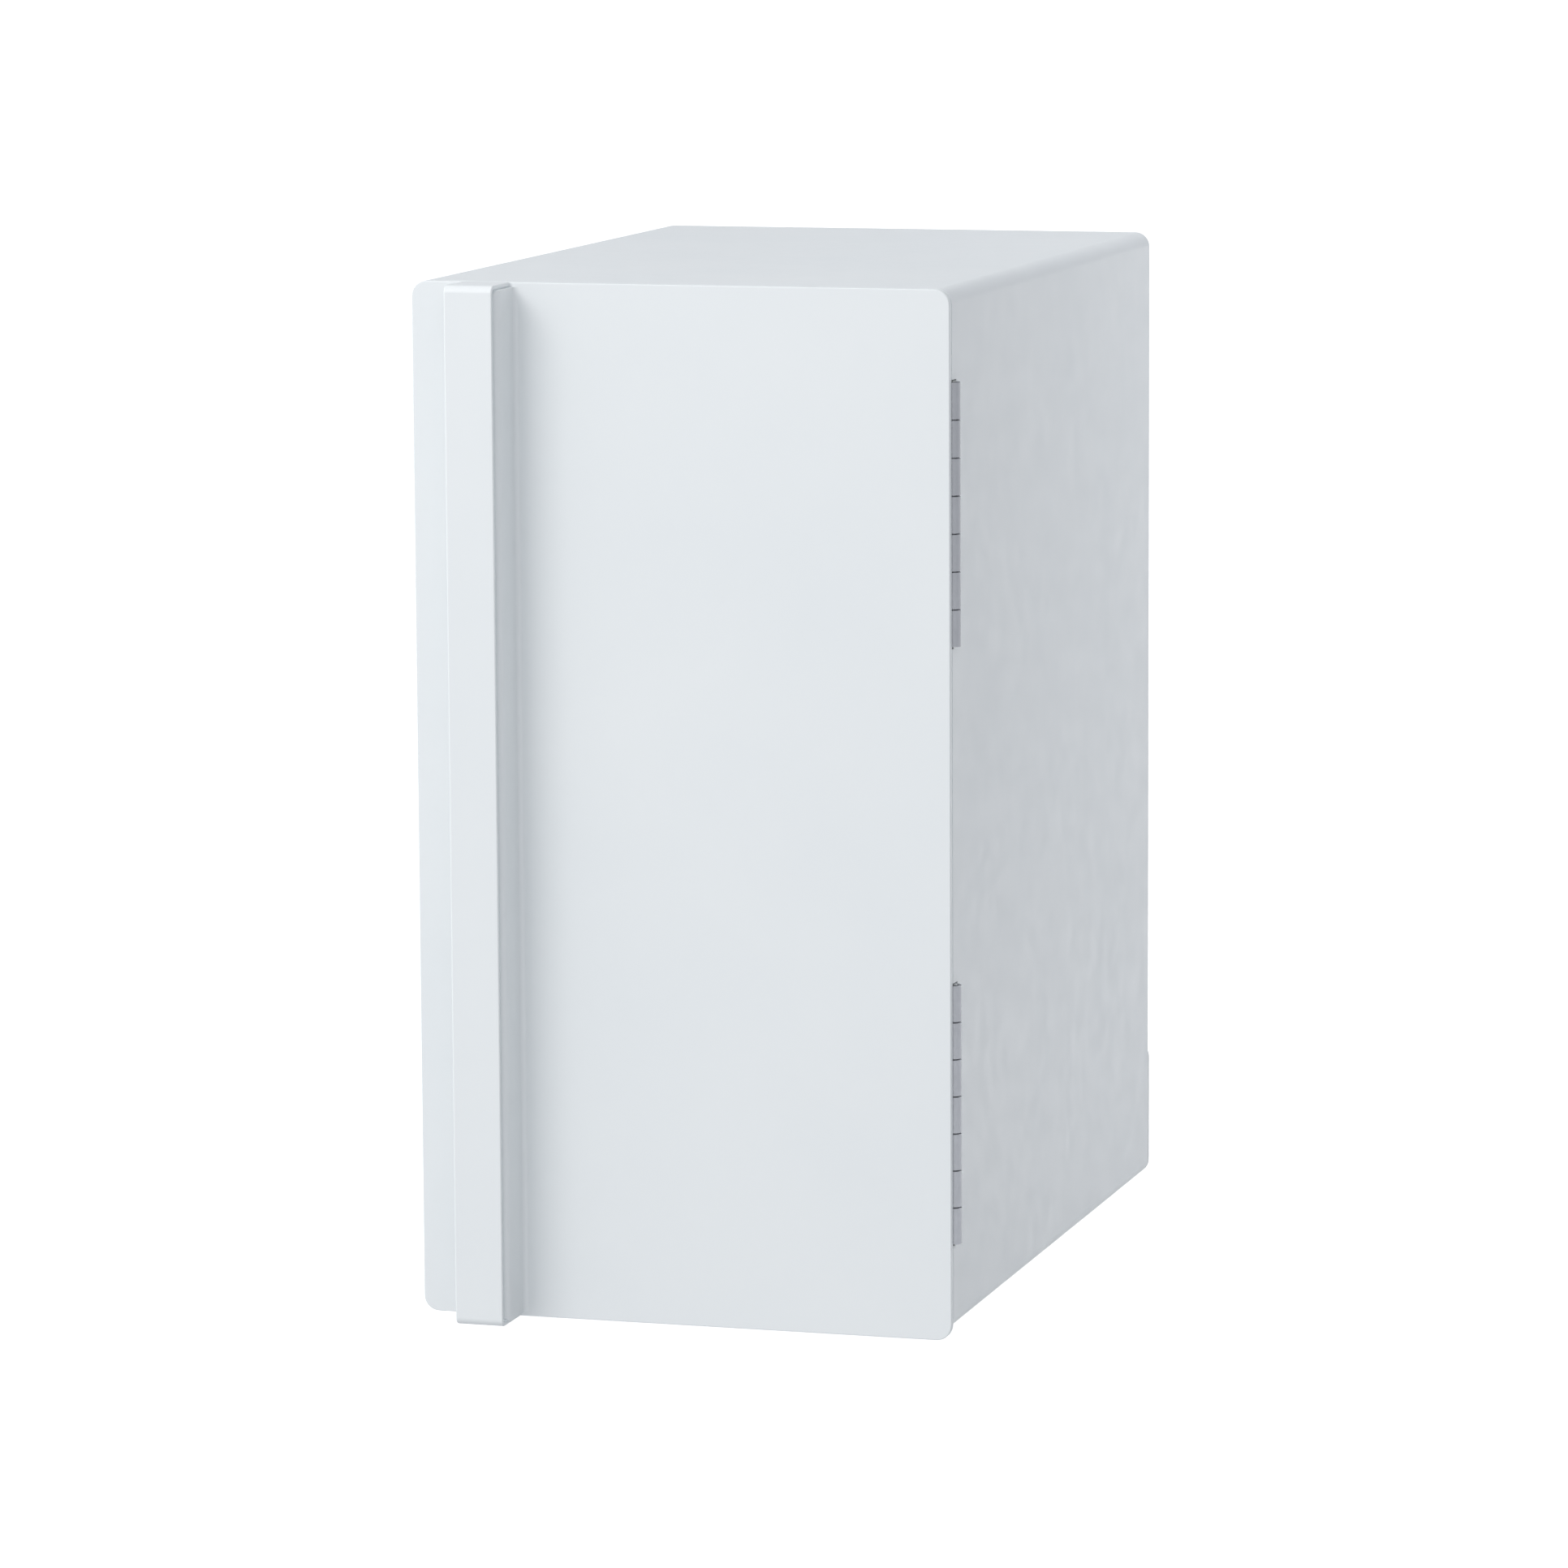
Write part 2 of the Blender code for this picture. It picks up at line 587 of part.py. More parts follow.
def air_cover(root):
    """Cover inside the cabinet over the cold sink and its fan, with a grille and the controls."""
    half_w, half_h, wall = AIR_COVER_HALF_W, AIR_COVER_HALF_H, 2.0
    y_open = LINER_BACK_Y - GAP
    section = [
        (wall, AIR_COVER_Y0 + wall),
        (wall, y_open),
        (0, y_open),
        (0, AIR_COVER_Y0 + 3.0),
        (0.9, AIR_COVER_Y0 + 0.9),
        (3.0, AIR_COVER_Y0),
    ]
    shape = around(section, half_w, STACK_Z - half_h, STACK_Z + half_h, 8.0, ring=False)
    cover = part("air_cover", "liner_plastic", [shape], root)
    openings = []
    for row in range(-3, 4):
        rise = row * GRILLE_PITCH
        z, reach = STACK_Z + rise, math.sqrt(GRILLE_R**2 - rise**2)
        openings.append(box((-reach, AIR_COVER_Y0 - 1, z - 1.8), (reach, AIR_COVER_Y0 + 3, z + 1.8)))
    for step in range(-2, 3):
        x = step * 18.0
        for z in (STACK_Z - half_h, STACK_Z + half_h):
            openings.append(box((x - 6.0, 208.0, z - 3.0), (x + 6.0, 228.0, z + 3.0)))
    openings += holes([(KNOB_X, KNOB_Z)], 3.6, "Y", AIR_COVER_Y0 - 1, AIR_COVER_Y0 + 3)
    low, high = LAMP_Z - LAMP_HALF[1] - GAP, LAMP_Z + LAMP_HALF[1] + GAP
    reach = LAMP_HALF[0] + GAP
    openings.append(box((KNOB_X - reach, AIR_COVER_Y0 - 1, low), (KNOB_X + reach, AIR_COVER_Y0 + 3, high)))
    cut(cover, openings)
    section = [(0.6, AIR_COVER_Y0 - 0.9), (0, AIR_COVER_Y0), (0, AIR_COVER_Y0 + 2.6)]
    half_w, half_h = LAMP_HALF
    lens = around(section, half_w, LAMP_Z - half_h, LAMP_Z + half_h, 2.0, ring=False)
    part("lamp_lens", "clear_plastic", [moved(lens, Matrix.Translation((KNOB_X, 0, 0)))], root)


def thermostat(root, knob_parent):
    """Thermostat behind the air cover, and its knob in front, turned by a shaft through the cover."""
    body_y0 = AIR_COVER_Y0 + 3.0
    place = (KNOB_X, KNOB_Z)
    outline = rounded(KNOB_X - 11.0, KNOB_Z - 12.0, KNOB_X + 11.0, KNOB_Z + 12.0, 2.0, 2)
    body = part("thermostat_body", "black_plastic", [prism(outline, "Y", body_y0, body_y0 + 17.0)], root)
    cut(body, holes([place], 3.3, "Y", body_y0 - 1, body_y0 + 9.0, 16))
    knob_y1 = AIR_COVER_Y0 - GAP
    profile = [
        (2.8, body_y0 + 7.0),
        (2.8, knob_y1),
        (12.0, knob_y1),
        (12.0, knob_y1 - 3.0),
        (10.6, knob_y1 - 4.2),
        (10.2, knob_y1 - 9.2),
        (9.4, knob_y1 - 10.0),
    ]
    knob = part("thermostat_knob", "liner_plastic", [turned(place, profile, "Y", 16)], knob_parent)
    grip = rounded(KNOB_X - 1.6, KNOB_Z - 11.0, KNOB_X + 1.6, KNOB_Z + 11.2, 1.2, 2)
    fuse(knob, [prism(grip, "Y", knob_y1 - 11.6, knob_y1 - 2.0)])


# ---------------------------------------------------------------- electrics


def power_inlet(root):
    """Two-pin appliance inlet, set into the rear cover."""
    x, z = INLET_X, SERVICE_Z
    half_x, half_z = INLET_HALF
    face = COVER_Y1 - 0.2
    body = prism(rounded(x - half_x, z - half_z, x + half_x, z + half_z, 1.5, 2), "Y", face - 24.0, face)
    inlet = part("power_inlet", "black_plastic", [body], root)
    cut(inlet, [prism(rounded(x - 9.2, z - 4.6, x + 9.2, z + 4.6, 4.4, 5), "Y", face - 13.0, face + 1)])
    profile = [(1.15, face - 15.0), (1.15, face - 2.5), (0.6, face - 1.8)]
    fuse(inlet, [turned((x + reach, z), profile, "Y", 10) for reach in (-4.8, 4.8)])


def power_switch(root, rocker_parent):
    """Rocker switch: a housing set into the rear cover, and the rocker that tips in it."""
    x, z = SWITCH_X, SERVICE_Z
    half_x, half_z = SWITCH_HALF
    face = COVER_Y1 - 0.2
    body = prism(rounded(x - half_x, z - half_z, x + half_x, z + half_z, 1.0, 2), "Y", face - 16.0, face)
    housing = part("switch_housing", "black_plastic", [body], root)
    cut(housing, [box((x - 9.0, face - 9.0, z - 5.4), (x + 9.0, face + 1, z + 5.4))])
    top = COVER_Y1 + ROCKER_PROUD
    pressed = [(x - 7.4, top), (x, top - 2.6), (x + 7.4, top - 2.9)]
    outline = pressed + [(x + 6.2, top - 7.0), (x - 6.2, top - 7.0)]
    part("power_rocker", "black_plastic", [prism(outline, "Z", z - 5.0, z + 5.0)], rocker_parent)


BOARD_Z = 17.0

# Capacitors on the board: place, radius and height.
CAPACITORS = [
    ((6.0, 276.0), 5.0, 20.0),
    ((6.0, 289.0), 4.0, 14.0),
    ((18.0, 276.0), 5.0, 20.0),
    ((36.0, 288.0), 3.2, 11.0),
]


def power_board(root):
    """Supply board with its stand-offs and capacitors, and the transformer that stands on it."""
    top = BOARD_Z + 1.6
    plate = prism(rounded(-48.0, 268.0, 52.0, 296.0, 2.0, 2), "Z", BOARD_Z, top)
    board = part("power_board", "board_green", [plate], root)
    corners = [(x, y) for x in (-43.0, 47.0) for y in (272.0, 292.0)]
    fuse(board, holes(corners, 3.0, "Z", BODY_Z0 + SHEET + GAP, BOARD_Z + 0.5))
    cans = []
    for place, r, height in CAPACITORS:
        profile = [(r, top - 0.5), (r, top + height - 0.8), (r - 0.8, top + height)]
        cans.append(turned(place, profile, "Z", 12))
    fuse(board, cans)
    core = box((-30.0, 271.0, top + GAP), (-6.0, 293.0, top + 20.0))
    transformer = part("transformer", "zinc_steel", [core], root)
    coil = rounded(-26.0, 269.0, -10.0, 295.0, 3.0, 3)
    fuse(transformer, [prism(coil, "Z", top + 4.0, top + 16.0)])


def smooth_route(points, steps):
    """Points on a Catmull-Rom curve through the given ones."""
    guide = [Vector(points[0])] + [Vector(p) for p in points] + [Vector(points[-1])]
    route = []
    for a, b, c, d in zip(guide, guide[1:], guide[2:], guide[3:]):
        squared = 2 * a - 5 * b + 4 * c - d
        cubed = 3 * b - a - 3 * c + d
        for i in range(steps):
            t = i / steps
            route.append(b + ((c - a) * t + squared * t**2 + cubed * t**3) / 2)
    return route + [guide[-1]]


def lead(name, finish, points, root, thickness=1.8):
    """An insulated wire held inside the machine compartment."""
    curve = bpy.data.curves.new(name, "CURVE")
    curve.dimensions = "3D"
    curve.bevel_depth = thickness / 2 * MM
    curve.bevel_resolution = 0
    curve.use_fill_caps = True
    route = smooth_route(points, 3)
    spline = curve.splines.new("POLY")
    spline.points.add(len(route) - 1)
    for point, place in zip(spline.points, route):
        point.co = (*(place * MM), 1)
    wire = bpy.data.objects.new(name, curve)
    bpy.context.scene.collection.objects.link(wire)
    wire.parent = root
    curve.materials.append(material(finish))


def wiring(root):
    """Leads from the module and the rear fan down to the board."""
    wall_run = [(60, 272, 285), (60, 275, 200), (58, 276, 90)]
    red = [(57, 266, 300)] + wall_run + [(50, 279, 48), (32, 277, 30), (28, 277, 22)]
    lead("module_lead_red", "red_wire", red, root)
    beside = [(x + 6, y, z) for x, y, z in wall_run]
    black = [(63, 266, 300)] + beside + [(56, 283, 46), (42, 281, 30), (38, 281, 22)]
    lead("module_lead_black", "black_wire", black, root)
    fan_run = [(-34, 303, 274), (-40, 304, 250), (-42, 304, 180), (-42, 300, 100)]
    lead("fan_lead", "black_wire", fan_run + [(-42, 290, 50), (-38, 284, 30), (-36, 284, 22)], root)


# ---------------------------------------------------------------- inside


def wire_shelf(name, rest_z, y0, root):
    """Coated wire shelf: a round-cornered rim with rods welded on top."""
    rim_r, rod_r = 2.0, 1.3
    half_w = HALF_W - LINER_INSET - 0.7
    z = rest_z + GAP + rim_r
    loops = []
    for inset, rise in circle((rim_r, 0), rim_r, 8):
        y1 = y0 + SHELF_DEPTH
        outline = rounded(-half_w + inset, y0 + inset, half_w - inset, y1 - inset, 8.0 - inset, 2)
        loops.append(placed(outline, "Z", z + rise))
    shelf = part(name, "coated_wire", [loft(loops, ring=True)], root)
    rods = []
    for step in range(-3, 4):
        x = step * 20.0
        rods.append(prism(circle((x, z + rim_r), rod_r, 6), "Y", y0 + 1.0, y0 + SHELF_DEPTH - 1.0))
    fuse(shelf, rods)
    middle = (y0 + SHELF_DEPTH / 2, z + 0.3)
    fuse(shelf, [prism(circle(middle, 1.6, 6), "X", -half_w + rim_r, half_w - rim_r)])


# ---------------------------------------------------------------- hinges


def knuckle_spans(z0, owner):
    """The knuckles of one leaf, from the bottom: the cabinet has the odd ones, the door the even ones."""
    pitch = HINGE_LENGTH / KNUCKLES
    first = 0 if owner == "cabinet" else 1
    return [(z0 + pitch * i + 0.15, z0 + pitch * (i + 1) - 0.15) for i in range(first, KNUCKLES, 2)]


def barrels(z0, owner):
    axis = (PIVOT_X, PIVOT_Y)
    return [tube(axis, BARREL_R, BORE_R, "Z", low, high) for low, high in knuckle_spans(z0, owner)]


def door_leaf(name, z0, door):
    """Flat leaf on the back of the plate, notched where the cabinet's knuckles turn."""
    y0 = PLATE_T + GAP + 0.05
    plate = box((HALF_W - 14.0, y0, z0), (PIVOT_X, y0 + LEAF_T, z0 + HINGE_LENGTH))
    leaf = part(name, "zinc_steel", [plate], door)
    relief = [
        box((PIVOT_X - BARREL_R - 0.5, y0 - 1, low - 0.3), (PIVOT_X + 1, y0 + 3, high + 0.3))
        for low, high in knuckle_spans(z0, "cabinet")
    ]
    cut(leaf, relief)
    fuse(leaf, barrels(z0, "door"))


def cabinet_leaf(name, z0, root):
    """Cranked leaf: along the inside of the sleeve, then across the front frame."""
    x1 = HALF_W - SHEET - GAP
    x0 = x1 - LEAF_T
    y1 = FRAME_Y0 - GAP
    tongue_y = PIVOT_Y + 1.9
    y0 = PIVOT_Y + BARREL_R + 0.5
    angle = [(x0, y0), (x1, y0), (x1, y1), (x1 - 8.2, y1), (x1 - 8.2, y1 - LEAF_T), (x0, y1 - LEAF_T)]
    leaf = part(name, "zinc_steel", [prism(angle, "Z", z0, z0 + HINGE_LENGTH)], root)
    spans = knuckle_spans(z0, "cabinet")
    fuse(leaf, [box((x0, tongue_y, low), (x1, y0 + 0.5, high)) for low, high in spans])
    fuse(leaf, barrels(z0, "cabinet"))


def hinges(root, door):
    for side, z0 in HINGE_Z0.items():
        cabinet_leaf(f"{side}_hinge_cabinet_leaf", z0, root)
        door_leaf(f"{side}_hinge_door_leaf", z0, door)
        z1 = z0 + HINGE_LENGTH
        profile = [(1.0, z0 - 0.5), (PIN_R, z0 - 0.1), (PIN_R, z1 + 0.1), (1.0, z1 + 0.5)]
        part(f"{side}_hinge_pin", "zinc_steel", [turned((PIVOT_X, PIVOT_Y), profile, "Z", 16)], root)


# ---------------------------------------------------------------- door


def plate_body(profile, ring=False):
    return around(profile, HALF_W, PLATE_Z0, PLATE_Z1, CORNER_R, steps=6, ring=ring)


def door_plate(door):
    ease = 0.5
    section = [(ease, 0), (ease * 0.3, ease * 0.3), (0, ease), (0, PLATE_T - ease), (ease, PLATE_T)]
    part("door_plate", "white_steel", [plate_body(section)], door)


def door_plug(door):
    """Moulded inner door: a flange on the plate and a tapered plug, filled with foam."""
    y0 = PLATE_T + GAP
    wall, draft = 1.5, 1.0
    section = [
        (PLUG_INSET + draft + wall, PLUG_Y1 - wall),
        (PLUG_INSET + wall, y0),
        (DOOR_FLANGE_INSET, y0, DOOR_FLANGE_R),
        (DOOR_FLANGE_INSET, y0 + wall, DOOR_FLANGE_R),
        (PLUG_INSET, y0 + wall),
        (PLUG_INSET + draft, PLUG_Y1 - 2.0),
        (PLUG_INSET + draft + 2.0, PLUG_Y1),
    ]
    corner = PLUG_INSET + 9.0
    part("inner_door_panel", "liner_plastic", [round_body(section, False, corner)], door)
    inset = PLUG_INSET + wall + GAP
    block = [(inset, y0 + GAP), (inset + draft, PLUG_Y1 - wall - GAP)]
    part("door_foam", "foam", [round_body(block, False, corner)], door)


def door_gasket(door):
    """Magnetic seal with a bellows waist."""
    near, far = GASKET_INSET
    y0 = PLATE_T + 2 * GAP + 1.5
    y1 = FRAME_Y0 - GAP
    section = [
        (near, y0),
        (far, y0),
        (far, y0 + 1.4),
        (far - 2.0, y0 + 2.4),
        (far - 2.0, y0 + 3.2),
        (far - 0.5, y0 + 4.2),
        (far - 0.5, y1),
        (near + 0.5, y1),
        (near + 0.5, y0 + 4.2),
        (near + 2.0, y0 + 3.2),
        (near + 2.0, y0 + 2.4),
        (near, y0 + 1.4),
    ]
    part("door_gasket", "gasket_rubber", [around(section, HALF_W, BODY_Z0, BODY_Z1, 22.0, steps=3)], door)


def door_bin(name, z0, height, door):
    """Open-topped bin on the inside of the door."""
    wall = 2.0
    y0 = PLUG_Y1 + GAP
    loops = []
    for inset, z in ((wall, z0 + wall), (wall, z0 + height), (0, z0 + height), (0, z0 + 2.0), (1.2, z0)):
        reach = BIN_HALF_W - inset
        outline = rounded(-reach, y0 + inset, reach, BIN_Y1 - inset, 9.0 - inset, 4)
        loops.append(placed(outline, "Z", z))
    part(name, "clear_plastic", [loft(loops)], door)


def bent_ends(y_front, z0, z1, radius, y_root):
    """One side of the handle's section: out at the bottom, up the front and back at the top."""
    low = arc((y_front + radius, z0 + radius), radius, 270, 180, 5)
    high = arc((y_front + radius, z1 - radius), radius, 180, 90, 5)
    return [(y_root, z0)] + low + high + [(y_root, z1)]


def handle(door):
    """Tall pull: a strip bent back at both ends, and a web that closes its right side, a groove away."""
    y_root, sheet = -GAP, HANDLE_SHEET
    outer = bent_ends(HANDLE_Y, PLATE_Z0, PLATE_Z1, HANDLE_BEND_R, y_root)
    inner = bent_ends(HANDLE_Y + sheet, PLATE_Z0 + sheet, PLATE_Z1 - sheet, HANDLE_BEND_R - sheet, y_root)
    strip = prism(outer + inner[::-1], "X", HANDLE_X0, HANDLE_X1)
    part("handle_channel", "white_steel", [strip], door)
    web_y0, inset = HANDLE_Y + sheet + HANDLE_GROOVE, sheet + GAP
    face = bent_ends(web_y0, PLATE_Z0 + inset, PLATE_Z1 - inset, HANDLE_WEB_R, y_root)
    part("handle_web", "white_steel", [prism(face, "X", HANDLE_X1, HANDLE_X1 + HANDLE_WEB_T)], door)


def build():
    for old in list(bpy.data.objects):
        bpy.data.objects.remove(old)
    root = pivot("fridge_frame", (0, 0, 0))
    root.location = Vector((-ORIGIN_X, -ORIGIN_Y, 0)) * MM
    door = pivot("door_hinge_axis", (PIVOT_X, PIVOT_Y, 0), root)
    cool_axis = pivot("cold_fan_axis", (0, COOL_FAN["y0"], STACK_Z), root)
    hot_axis = pivot("hot_fan_axis", (0, HOT_FAN["y0"], STACK_Z), root)
    knob_axis = pivot("knob_axis", (KNOB_X, AIR_COVER_Y0, KNOB_Z), root)
    rocker_axis = pivot("rocker_axis", (SWITCH_X, COVER_Y1 - 4.0, SERVICE_Z), root)
    cabinet_shell(root)
    front_frame(root)
    inner_liner(root)
    insulation(root)
    rear_bulkhead(root)
    back_panel(root)
    fan_guard(root)
    rear_cover(root)
    feet(root)
    cooling_stack(root)
    fan("cold_fan", COOL_FAN, root, cool_axis)
    fan("hot_fan", HOT_FAN, root, hot_axis)
    air_cover(root)
    thermostat(root, knob_axis)
    power_inlet(root)
    power_switch(root, rocker_axis)
    power_board(root)
    wiring(root)
    for name, (rest_z, y0) in SHELVES.items():
        wire_shelf(name, rest_z, y0, root)
    hinges(root, door)
    door_plate(door)
    door_plug(door)
    door_gasket(door)
    for name, (z0, height) in BINS.items():
        door_bin(name, z0, height, door)
    handle(door)


build()
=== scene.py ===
"""The looks of a slim white mini fridge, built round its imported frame.

Shapes are drawn in design millimetres: X from the middle of the door plate towards the hinges,
Y from the plate's front face towards the back, Z up from the floor. Sizes and places come from
the frame's own boxes.
"""

import math

import bmesh
import bpy
from mathutils import Matrix, Vector


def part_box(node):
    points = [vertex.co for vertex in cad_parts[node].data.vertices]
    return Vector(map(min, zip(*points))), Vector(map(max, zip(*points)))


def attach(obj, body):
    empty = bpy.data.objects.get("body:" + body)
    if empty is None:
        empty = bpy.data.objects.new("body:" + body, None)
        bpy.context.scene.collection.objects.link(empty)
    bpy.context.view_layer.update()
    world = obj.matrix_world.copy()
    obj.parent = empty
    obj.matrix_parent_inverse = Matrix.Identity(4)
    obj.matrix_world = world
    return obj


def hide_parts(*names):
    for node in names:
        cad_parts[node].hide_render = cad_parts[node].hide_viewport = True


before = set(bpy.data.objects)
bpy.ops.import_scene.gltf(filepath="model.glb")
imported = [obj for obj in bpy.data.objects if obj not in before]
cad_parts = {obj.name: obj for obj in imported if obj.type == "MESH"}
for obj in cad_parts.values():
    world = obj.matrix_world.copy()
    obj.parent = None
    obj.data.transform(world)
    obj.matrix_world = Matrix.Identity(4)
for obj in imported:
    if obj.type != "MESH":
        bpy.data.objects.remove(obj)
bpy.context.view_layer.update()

MM = 0.001
_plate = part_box("door_plate")
MIDDLE_X = (_plate[0].x + _plate[1].x) / 2
FRONT_Y = _plate[0].y
TO_ROW = Matrix.Translation((MIDDLE_X, FRONT_Y, 0)) @ Matrix.Scale(MM, 4)
TO_DESIGN = TO_ROW.inverted()


def span(node):
    """A node's lowest and highest corners in design millimetres."""
    low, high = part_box(node)
    return TO_DESIGN @ Vector(low), TO_DESIGN @ Vector(high)


def face_centre(node):
    """The middle of a node seen from the front, as (x, z)."""
    low, high = span(node)
    return (low.x + high.x) / 2, (low.z + high.z) / 2


def plan_centre(node):
    """The middle of a node seen from above, as (x, y)."""
    low, high = span(node)
    return (low.x + high.x) / 2, (low.y + high.y) / 2


# ---------------------------------------------------------------- materials


def linear(code):
    """An sRGB hex colour as linear RGBA."""
    parts = [int(code[i : i + 2], 16) / 255 for i in (1, 3, 5)]
    return (*[c / 12.92 if c <= 0.04045 else ((c + 0.055) / 1.055) ** 2.4 for c in parts], 1.0)


def per_mm(size):
    """Texture scale for a pattern whose features are this many millimetres across."""
    return 1 / (size * MM)


def add(tree, kind, settings=(), links=()):
    """Adds a shader node. A setting goes to the input of that name or number, or else to the property."""
    made = tree.nodes.new(kind)
    for key, value in dict(settings).items():
        if isinstance(key, int) or key in made.inputs:
            made.inputs[key].default_value = value
        else:
            setattr(made, key, value)
    for key, source in dict(links).items():
        tree.links.new(source, made.inputs[key])
    return made


def surface(name, **sockets):
    """A material whose shader has these even values. Underscores stand for the spaces in socket names."""
    made = bpy.data.materials.new(name)
    made.use_nodes = True
    shader = made.node_tree.nodes["Principled BSDF"]
    for key, value in sockets.items():
        shader.inputs[key.replace("_", " ")].default_value = value
    return made, made.node_tree, shader


def mottle(tree, size_mm, detail=2.0, stretch=(1, 1, 1)):
    """Soft mottling in the object's own space, with features of this size."""
    place = add(tree, "ShaderNodeTexCoord").outputs["Object"]
    spread = add(tree, "ShaderNodeMapping", {"Scale": stretch}, {"Vector": place}).outputs["Vector"]
    settings = {"Scale": per_mm(size_mm), "Detail": detail}
    return add(tree, "ShaderNodeTexNoise", settings, {"Vector": spread}).outputs["Fac"]


def dress(tree, shader, colour, gloss=None, reliefs=()):
    """Gives a finish its surface: colour that drifts between two shades, roughness that drifts
    between two values, and reliefs of a real depth in mm and a strength, each over the last."""
    fac, dark, light = colour
    settings = {"data_type": "RGBA", 6: linear(dark), 7: linear(light)}
    shade = add(tree, "ShaderNodeMix", settings, {0: fac}).outputs[2]
    tree.links.new(shade, shader.inputs["Base Color"])
    if gloss:
        fac, low, high = gloss
        settings = {"From Min": 0.3, "From Max": 0.7, "To Min": low, "To Max": high}
        spread = add(tree, "ShaderNodeMapRange", settings, {"Value": fac}).outputs["Result"]
        tree.links.new(spread, shader.inputs["Roughness"])
    links = {}
    for height, depth_mm, strength in reliefs:
        links["Height"] = height
        settings = {"Distance": depth_mm * MM, "Strength": strength}
        links["Normal"] = add(tree, "ShaderNodeBump", settings, links).outputs["Normal"]
    if links:
        tree.links.new(links["Normal"], shader.inputs["Normal"])


def powder_coat():
    """Epoxy-polyester powder baked on steel: semi-matt, with a shallow orange peel of about 1.6 mm."""
    made, tree, shader = surface("white_powder_coat", IOR=1.5, Roughness=0.44)
    colour = (mottle(tree, 60), "#EAEEF0", "#EFF2F3")
    gloss = (mottle(tree, 9, 3.0), 0.40, 0.50)
    peel, grain = mottle(tree, 1.6), mottle(tree, 0.35, 1.0)
    dress(tree, shader, colour, gloss, [(peel, 0.012, 0.5), (grain, 0.003, 0.4)])
    return made


def moulded_abs():
    """Injection-moulded ABS with a fine spark-eroded grain of about 0.4 mm."""
    made, tree, shader = surface("white_moulded_abs", IOR=1.54, Roughness=0.5)
    colour = (mottle(tree, 40), "#E6E9EA", "#EBEDEE")
    gloss = (mottle(tree, 5), 0.46, 0.56)
    grain = mottle(tree, 0.4, 3.0)
    dress(tree, shader, colour, gloss, [(grain, 0.02, 0.5)])
    return made


def thermoformed_hips():
    """Thermoformed polystyrene sheet: satin gloss, with faint draw marks where it stretched."""
    made, tree, shader = surface("white_thermoformed_hips", IOR=1.59, Roughness=0.34)
    draw = mottle(tree, 22, 1.0, (1, 0.3, 1))
    gloss = (mottle(tree, 9, 1.0), 0.31, 0.37)
    dress(tree, shader, (draw, "#EEF1F1", "#F3F5F5"), gloss, [(draw, 0.05, 0.15)])
    return made


def soft_pvc():
    """Extruded flexible PVC for the door seal: dull, with fine lines along the extrusion."""
    made, tree, shader = surface("grey_soft_pvc", IOR=1.53, Roughness=0.6)
    lines = mottle(tree, 0.6, 2.0, (1, 1, 0.1))
    colour = (mottle(tree, 25), "#C3C8CA", "#CDD1D3")
    gloss = (mottle(tree, 3), 0.52, 0.66)
    dress(tree, shader, colour, gloss, [(lines, 0.02, 0.4)])
    return made


def rigid_foam():
    """Poured polyurethane foam: closed cells of about 0.8 mm, drawn as coarse as 1.5 mm, and matt."""
    made, tree, shader = surface("cream_rigid_foam", IOR=1.4, Roughness=0.95)
    place = add(tree, "ShaderNodeTexCoord").outputs["Object"]
    cells = add(tree, "ShaderNodeTexVoronoi", {"Scale": per_mm(1.5)}, {"Vector": place})
    walls = cells.outputs["Distance"]
    dress(tree, shader, (walls, "#E9DDB4", "#D9C995"), reliefs=[(walls, 0.4, 0.7)])
    return made


def extruded_aluminium():
    """Mill-finish aluminium extrusion: die lines about 0.3 mm apart, along its length."""
    made, tree, shader = surface("extruded_aluminium", Metallic=1.0, Roughness=0.34)
    lines = mottle(tree, 0.3, 2.0, (1, 1, 0.02))
    colour = (mottle(tree, 12, 3.0), "#C4C7CA", "#D2D4D7")
    dress(tree, shader, colour, (lines, 0.3, 0.44), [(lines, 0.01, 0.5)])
    return made


def alumina():
    """Pressed and fired alumina plate: white, slightly speckled."""
    made, tree, shader = surface("white_alumina", IOR=1.76, Roughness=0.5)
    speck = mottle(tree, 0.3)
    dress(tree, shader, (speck, "#E7E5DC", "#F4F3EE"), reliefs=[(speck, 0.01, 0.4)])
    return made


def black_abs():
    """Black moulded ABS with a fine grain, dull on the flats."""
    made, tree, shader = surface("black_moulded_abs", IOR=1.54, Roughness=0.45)
    colour = (mottle(tree, 15), "#17181A", "#202225")
    gloss = (mottle(tree, 4), 0.38, 0.52)
    grain = mottle(tree, 0.35, 3.0)
    dress(tree, shader, colour, gloss, [(grain, 0.02, 0.5)])
    return made


def satin_zinc():
    """Satin zinc plate on the hinges: soft grey, finely brushed along the barrel."""
    made, tree, shader = surface("satin_zinc_plate", Metallic=1.0, Roughness=0.4)
    brushed = mottle(tree, 0.3, 2.0, (1, 1, 0.15))
    colour = (mottle(tree, 6), "#8E9095", "#999BA0")
    dress(tree, shader, colour, (brushed, 0.34, 0.46), [(brushed, 0.004, 0.5)])
    return made


def zinc_plate():
    """Bright zinc plate, passivated: faint blue and straw clouds over a fine spangle."""
    made, tree, shader = surface("bright_zinc_plate", Metallic=1.0, Roughness=0.35)
    colour = (mottle(tree, 7, 3.0), "#B4BCC6", "#CFCDC4")
    gloss = (mottle(tree, 1.2, 3.0), 0.3, 0.42)
    spangle = mottle(tree, 0.4)
    dress(tree, shader, colour, gloss, [(spangle, 0.006, 0.5)])
    return made


